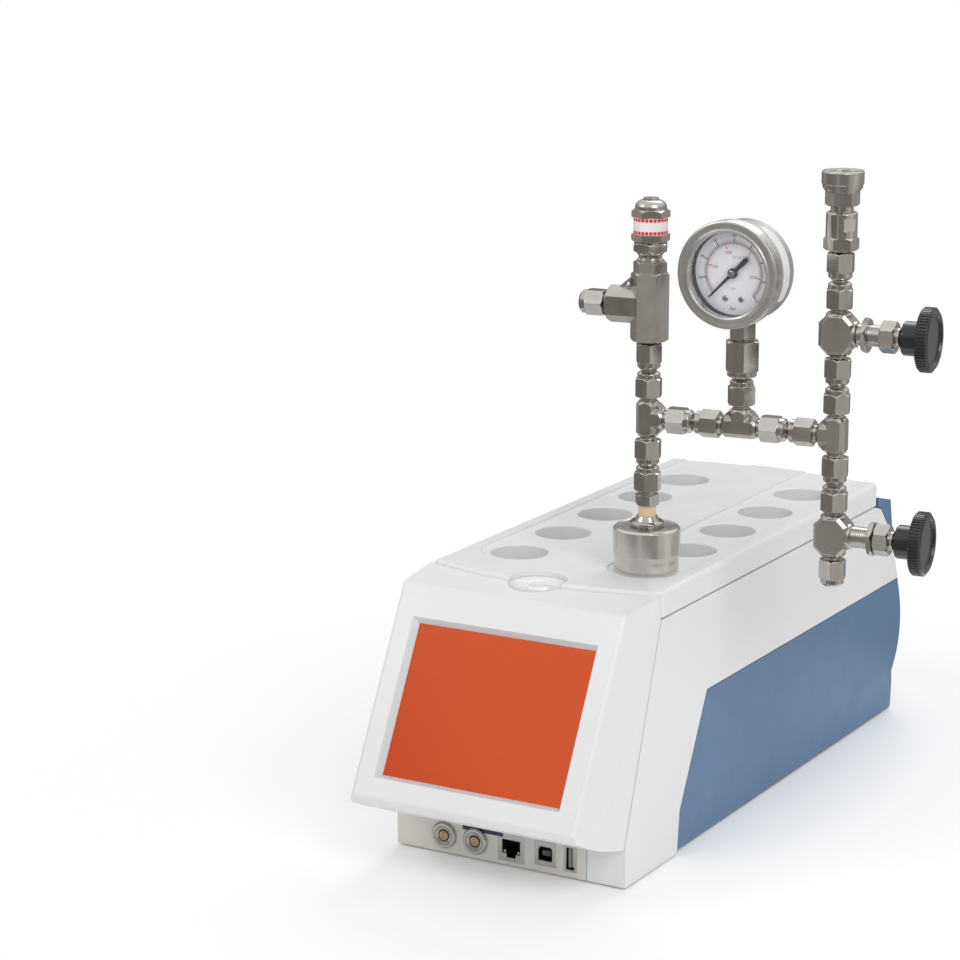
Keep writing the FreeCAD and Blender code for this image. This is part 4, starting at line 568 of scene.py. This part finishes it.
def make_threads():
    for name in ("lower", "upper"):
        body = joint_place[name + "_valve_turn"]
        root = Vector(body["pos_m"]) - side * (HANDLE_TO_ROOT * MM)
        mesh = to_mesh(thread(6.0, 12.2, 24.9, 1.1, 0.32), "bonnet_thread", pointing(root, side))
        add_piece(name + "_bonnet_thread", mesh, stainless_run)


# Label band on the relief valve

def make_label_band():
    place = centre("relief_bonnet")
    low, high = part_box("relief_bonnet")
    base = Vector((place.x, place.y, low.z + BAND_FOOT * MM))
    sleeve = [(9.78, 0.05), (9.88, 0.1), (9.88, 9.5), (9.78, 9.55)]
    add_lathe("label_band", sleeve, base, up, paper)
    shape = bmesh.new()
    count = 26

    def patch(start, end, bottom, top):
        steps = max(1, int(math.degrees(end - start) / 4))
        for k in range(steps):
            first = start + (end - start) * k / steps
            last = start + (end - start) * (k + 1) / steps
            corners = [(first, bottom), (last, bottom), (last, top), (first, top)]
            shape.faces.new([shape.verts.new((BAND_RADIUS * MM * math.cos(a), BAND_RADIUS * MM * math.sin(a),
                                              h * MM)) for a, h in corners])

    for foot, top in ((0.25, 2.15), (7.45, 9.35)):
        for i in range(count):
            start = 2 * math.pi * (i + 0.1) / count
            patch(start, start + 2 * math.pi * 0.74 / count, foot, top)
    for foot in (0.85, 8.35):
        patch(0, 2 * math.pi, foot, foot + 0.4)
    add_piece("label_border", to_mesh(shape, "label_border", Matrix.Translation(base)),
              paint("label_red", (0.70, 0.02, 0.05), 0.45))


# Sockets of the connector plate

def socket_liner(name, outline, place):
    """Lines an opening with a closed pocket and a rim; the outline is (x, z) points about its centre."""
    shape = bmesh.new()
    front = [shape.verts.new((x * MM, POCKET_FRONT * MM, z * MM)) for x, z in outline]
    back = [shape.verts.new((x * MM, POCKET_DEPTH * MM, z * MM)) for x, z in outline]
    for i in range(len(outline)):
        j = (i + 1) % len(outline)
        shape.faces.new((front[i], front[j], back[j], back[i]))
    rim = [shape.verts.new((x * 1.13 * MM, RIM_FRONT * MM, z * 1.1 * MM)) for x, z in outline]
    for i in range(len(outline)):
        j = (i + 1) % len(outline)
        shape.faces.new((rim[i], rim[j], front[j], front[i]))
    shape.faces.new(back)
    bmesh.ops.triangulate(shape, faces=[face for face in shape.faces if len(face.verts) > 4])
    mesh = to_mesh(shape, name, Matrix.Translation(place), False)
    add_piece(name, mesh, socket_dark)


def add_facets(name, facets, place, material):
    """Separate flat faces from lists of corners in millimetres."""
    shape = bmesh.new()
    for corners in facets:
        shape.faces.new([shape.verts.new(Vector(corner) * MM) for corner in corners])
    mesh = to_mesh(shape, name, Matrix.Translation(place), False)
    add_piece(name, mesh, material)


def socket_place(node):
    low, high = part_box(node)
    return Vector(((low.x + high.x) / 2, low.y, (low.z + high.z) / 2))


def make_probe_sockets():
    low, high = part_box("probe_sockets")
    plate_low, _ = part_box("connector_plate")
    outward = (0, -1, 0)
    well = [(5.75, 2.0), (5.7, 2.12), (5.45, 2.14), (5.2, 1.6), (3.2, 0.9), (2.8, 0.4)]
    insert = [(2.95, 0.9), (2.9, 1.5), (2.6, 1.65), (0.01, 1.65)]
    for i, x in enumerate((low.x + 8 * MM, high.x - 8 * MM)):
        place = Vector((x, plate_low.y, (low.z + high.z) / 2))
        add_lathe("probe_well_%d" % i, well, place, outward, socket_dark)
        add_lathe("probe_insert_%d" % i, insert, place, outward, contact_bronze)
        pins = bmesh.new()
        for k in range(7):
            angle = 2 * math.pi * k / 6
            r = 0 if k == 6 else 1.6
            dot = lathe([(0.40, 1.6), (0.38, 1.72), (0.01, 1.72)], 14)
            dot.transform(Matrix.Translation((r * MM * math.cos(angle), r * MM * math.sin(angle), 0)))
            mesh = bpy.data.meshes.new("dot")
            dot.to_mesh(mesh)
            dot.free()
            pins.from_mesh(mesh)
        add_piece("probe_pins_%d" % i, to_mesh(pins, "probe_pins", pointing(place, outward)), socket_dark)


def make_network_socket():
    place = socket_place("network_socket")
    jack = [(-5.93, -4.13), (-2.93, -4.13), (-2.93, -6.53), (2.93, -6.53), (2.93, -4.13), (5.93, -4.13),
            (5.93, 4.13), (-5.93, 4.13)]
    socket_liner("network_liner", jack, place)
    facets = []
    for i in range(8):
        x = (i - 3.5) * 1.02
        facets.append([(x - 0.2, 2.0, 4.0), (x + 0.2, 2.0, 4.0), (x + 0.2, 7.5, 0.4), (x - 0.2, 7.5, 0.4)])
    add_facets("network_contacts", facets, place, contact_bronze)
    for i, x in enumerate((-4.6, 4.6)):
        add_box("network_shield_%d" % i, (1.6, 0.5, 1.5), place + Vector((x, 0.9, -3.2)) * MM, 0.15,
                socket_pale)


def make_usb_sockets():
    place = socket_place("usb_b_socket")
    outline = [(-4.43, -4.13), (4.43, -4.13), (4.43, 1.9), (2.5, 4.13), (-2.5, 4.13), (-4.43, 1.9)]
    socket_liner("usb_b_liner", outline, place)
    corner = ((4.43, 1.9), (4.43, 4.13), (2.5, 4.13))
    facets = [[(s * x, POCKET_FRONT, z) for x, z in corner] for s in (-1, 1)]
    add_facets("usb_b_corners", facets, place, socket_pale)
    add_box("usb_b_tongue", (5.9, 9.0, 3.5), place + Vector((0, 6.2, 0)) * MM, 0.3,
            paint("tongue_grey", (0.075, 0.07, 0.07), 0.4))

    place = socket_place("usb_a_socket")
    socket_liner("usb_a_liner", [(-2.53, -6.43), (2.53, -6.43), (2.53, 6.43), (-2.53, 6.43)], place)
    tongue = place + Vector((-0.75, 5.6, 0)) * MM
    add_box("usb_a_tongue", (1.9, 9.0, 11.3), tongue, 0.2, paint("tongue_beige", (0.30, 0.275, 0.235), 0.4))
    facets = [[(1.0, -4.0, z - 0.5), (1.0, 3.8, z - 0.5), (1.0, 3.8, z + 0.5), (1.0, -4.0, z + 0.5)]
              for z in (-3.6, -1.2, 1.2, 3.6)]
    add_facets("usb_a_contacts", facets, tongue, contact_bronze)


def make_marker_strip():
    plate_low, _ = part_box("connector_plate")
    place = station(-17.5, 0, 19.2)
    place.y = plate_low.y - 0.13 * MM
    add_box("marker_strip", (27.0, 0.25, 2.8), place, 0.06, paint("marker_navy", (0.012, 0.014, 0.085), 0.35))


nodes["display_window"].visible_diffuse = False
make_gauge()
make_threads()
make_label_band()
make_probe_sockets()
make_network_socket()
make_usb_sockets()
make_marker_strip()


# Floor, light and camera

def make_floor():
    shape = bmesh.new()
    bmesh.ops.create_circle(shape, cap_ends=True, segments=96, radius=14.0)
    mesh = bpy.data.meshes.new("floor")
    shape.to_mesh(mesh)
    shape.free()
    floor = bpy.data.objects.new("floor", mesh)
    bpy.context.scene.collection.objects.link(floor)
    g = Graph("floor_white")
    g.set(roughness=0.6)
    tone = g.ramp(g.noise(3.0), [(0.3, (0.93, 0.93, 0.93)), (0.7, (0.95, 0.95, 0.95))])
    g.link(tone, g.shader.inputs["Base Color"])
    length = g.add("ShaderNodeVectorMath", operation="LENGTH")
    g.link(g.place, length.inputs[0])
    far = g.spread(length.outputs["Value"], 0.0, 1.0, 0.22, 0.5)
    near = g.add("ShaderNodeAddShader")
    g.link(g.shader.outputs[0], near.inputs[0])
    g.link(g.glowing((1, 1, 1), 0.10), near.inputs[1])
    seen = g.blended(far, near.outputs[0], g.glowing((1, 1, 1), 1.0))
    g.finished(g.blended(g.seen_directly(), g.shader.outputs[0], seen))
    mesh.materials.append(g.material)


def make_card():
    """A dim curved wall round the object that only polished surfaces see, with a soft upper end."""
    profile = [(0.29, 0.012), (0.9, 0.03), (1.12, 0.12), (1.2, 0.4), (1.2, 0.7), (1.2, 1.1)]
    tones = [(-180, 0.50), (-162, 0.30), (-140, 0.22), (-112, 0.26), (-98, 0.24), (-90, 0.62), (-82, 0.26),
             (-58, 0.27), (-38, 0.24), (-28, 0.60), (-14, 0.52), (-2, 0.86), (14, 0.72), (34, 0.40),
             (52, 0.50), (74, 0.34), (95, 0.24), (125, 0.15), (150, 0.20), (180, 0.50)]
    shape = bmesh.new()
    steps = 90
    rows = []
    for i in range(steps):
        angle = 2 * math.pi * i / steps
        rows.append([shape.verts.new((r * math.cos(angle), r * math.sin(angle), z)) for r, z in profile])
    for i in range(steps):
        for k in range(len(profile) - 1):
            a, b = rows[i], rows[(i + 1) % steps]
            shape.faces.new((a[k], a[k + 1], b[k + 1], b[k]))
    card = bpy.data.objects.new("studio_card", to_mesh(shape, "studio_card"))
    bpy.context.scene.collection.objects.link(card)
    g = Graph("studio_card")
    split = g.add("ShaderNodeSeparateXYZ")
    g.link(g.place, split.inputs["Vector"])
    angle = g.maths("ARCTAN2", split.outputs["Y"], split.outputs["X"])
    stops = [((degrees + 180) / 360, (t, t * (0.925 + 0.06 * t), t * (0.85 + 0.13 * t)))
             for degrees, t in tones]
    tone = g.ramp(g.spread(angle, 0.0, 1.0, -math.pi, math.pi), stops)
    light = g.add("ShaderNodeEmission")
    g.link(tone, light.inputs["Color"])
    high = g.spread(split.outputs["Z"], 1.0, 0.0, 0.5, 1.05)
    clear = g.add("ShaderNodeBsdfTransparent").outputs[0]
    g.finished(g.blended(high, clear, light.outputs[0]))
    card.data.materials.append(g.material)
    card.visible_camera = False
    card.visible_diffuse = False
    card.visible_shadow = False
    card.visible_transmission = False


def area_light(name, place, target, size, power, color=(1, 1, 1)):
    data = bpy.data.lights.new(name, "AREA")
    data.shape = "RECTANGLE"
    data.size, data.size_y = size
    data.energy = power
    data.color = color
    lamp = bpy.data.objects.new(name, data)
    bpy.context.scene.collection.objects.link(lamp)
    lamp.location = place
    lamp.rotation_euler = (Vector(target) - Vector(place)).to_track_quat("-Z", "Y").to_euler()
    return lamp


def make_world():
    world = bpy.data.worlds.new("studio")
    bpy.context.scene.world = world
    world.use_nodes = True
    tree = world.node_tree
    tree.nodes.clear()
    out = tree.nodes.new("ShaderNodeOutputWorld")
    lit = tree.nodes.new("ShaderNodeBackground")
    lit.inputs["Color"].default_value = (1, 1, 1, 1)
    lit.inputs["Strength"].default_value = 0.55
    seen = tree.nodes.new("ShaderNodeBackground")
    seen.inputs["Color"].default_value = (1, 1, 1, 1)
    seen.inputs["Strength"].default_value = 1.0
    path = tree.nodes.new("ShaderNodeLightPath")
    previous = path.outputs["Is Camera Ray"]
    for kind in ("Is Glossy Ray", "Is Transmission Ray"):
        either = tree.nodes.new("ShaderNodeMath")
        either.operation = "MAXIMUM"
        tree.links.new(previous, either.inputs[0])
        tree.links.new(path.outputs[kind], either.inputs[1])
        previous = either.outputs[0]
    mix = tree.nodes.new("ShaderNodeMixShader")
    tree.links.new(previous, mix.inputs[0])
    tree.links.new(lit.outputs[0], mix.inputs[1])
    tree.links.new(seen.outputs[0], mix.inputs[2])
    tree.links.new(mix.outputs[0], out.inputs[0])


def make_camera():
    data = bpy.data.cameras.new("photo_camera")
    data.sensor_width = 36.0
    data.lens = data.sensor_width * FOCAL_PIXELS / PICTURE_PIXELS
    data.clip_end = 60.0
    camera = bpy.data.objects.new("photo_camera", data)
    bpy.context.scene.collection.objects.link(camera)
    camera.location = station(*CAMERA_PLACE)
    camera.rotation_euler = (station(*CAMERA_TARGET) - camera.location).to_track_quat("-Z", "Y").to_euler()
    bpy.context.scene.camera = camera


make_floor()
make_world()
make_camera()
make_card()
middle = (station_x, 0.0, 0.2)
area_light("key", (2.3, -1.7, 2.0), middle, (1.8, 1.8), 42.0)
area_light("fill", (-2.0, -1.9, 1.7), middle, (1.4, 1.4), 16.0)
area_light("rear", (-0.3, 1.8, 2.6), middle, (1.8, 1.4), 25.0)
bpy.context.scene.view_settings.view_transform = "Standard"
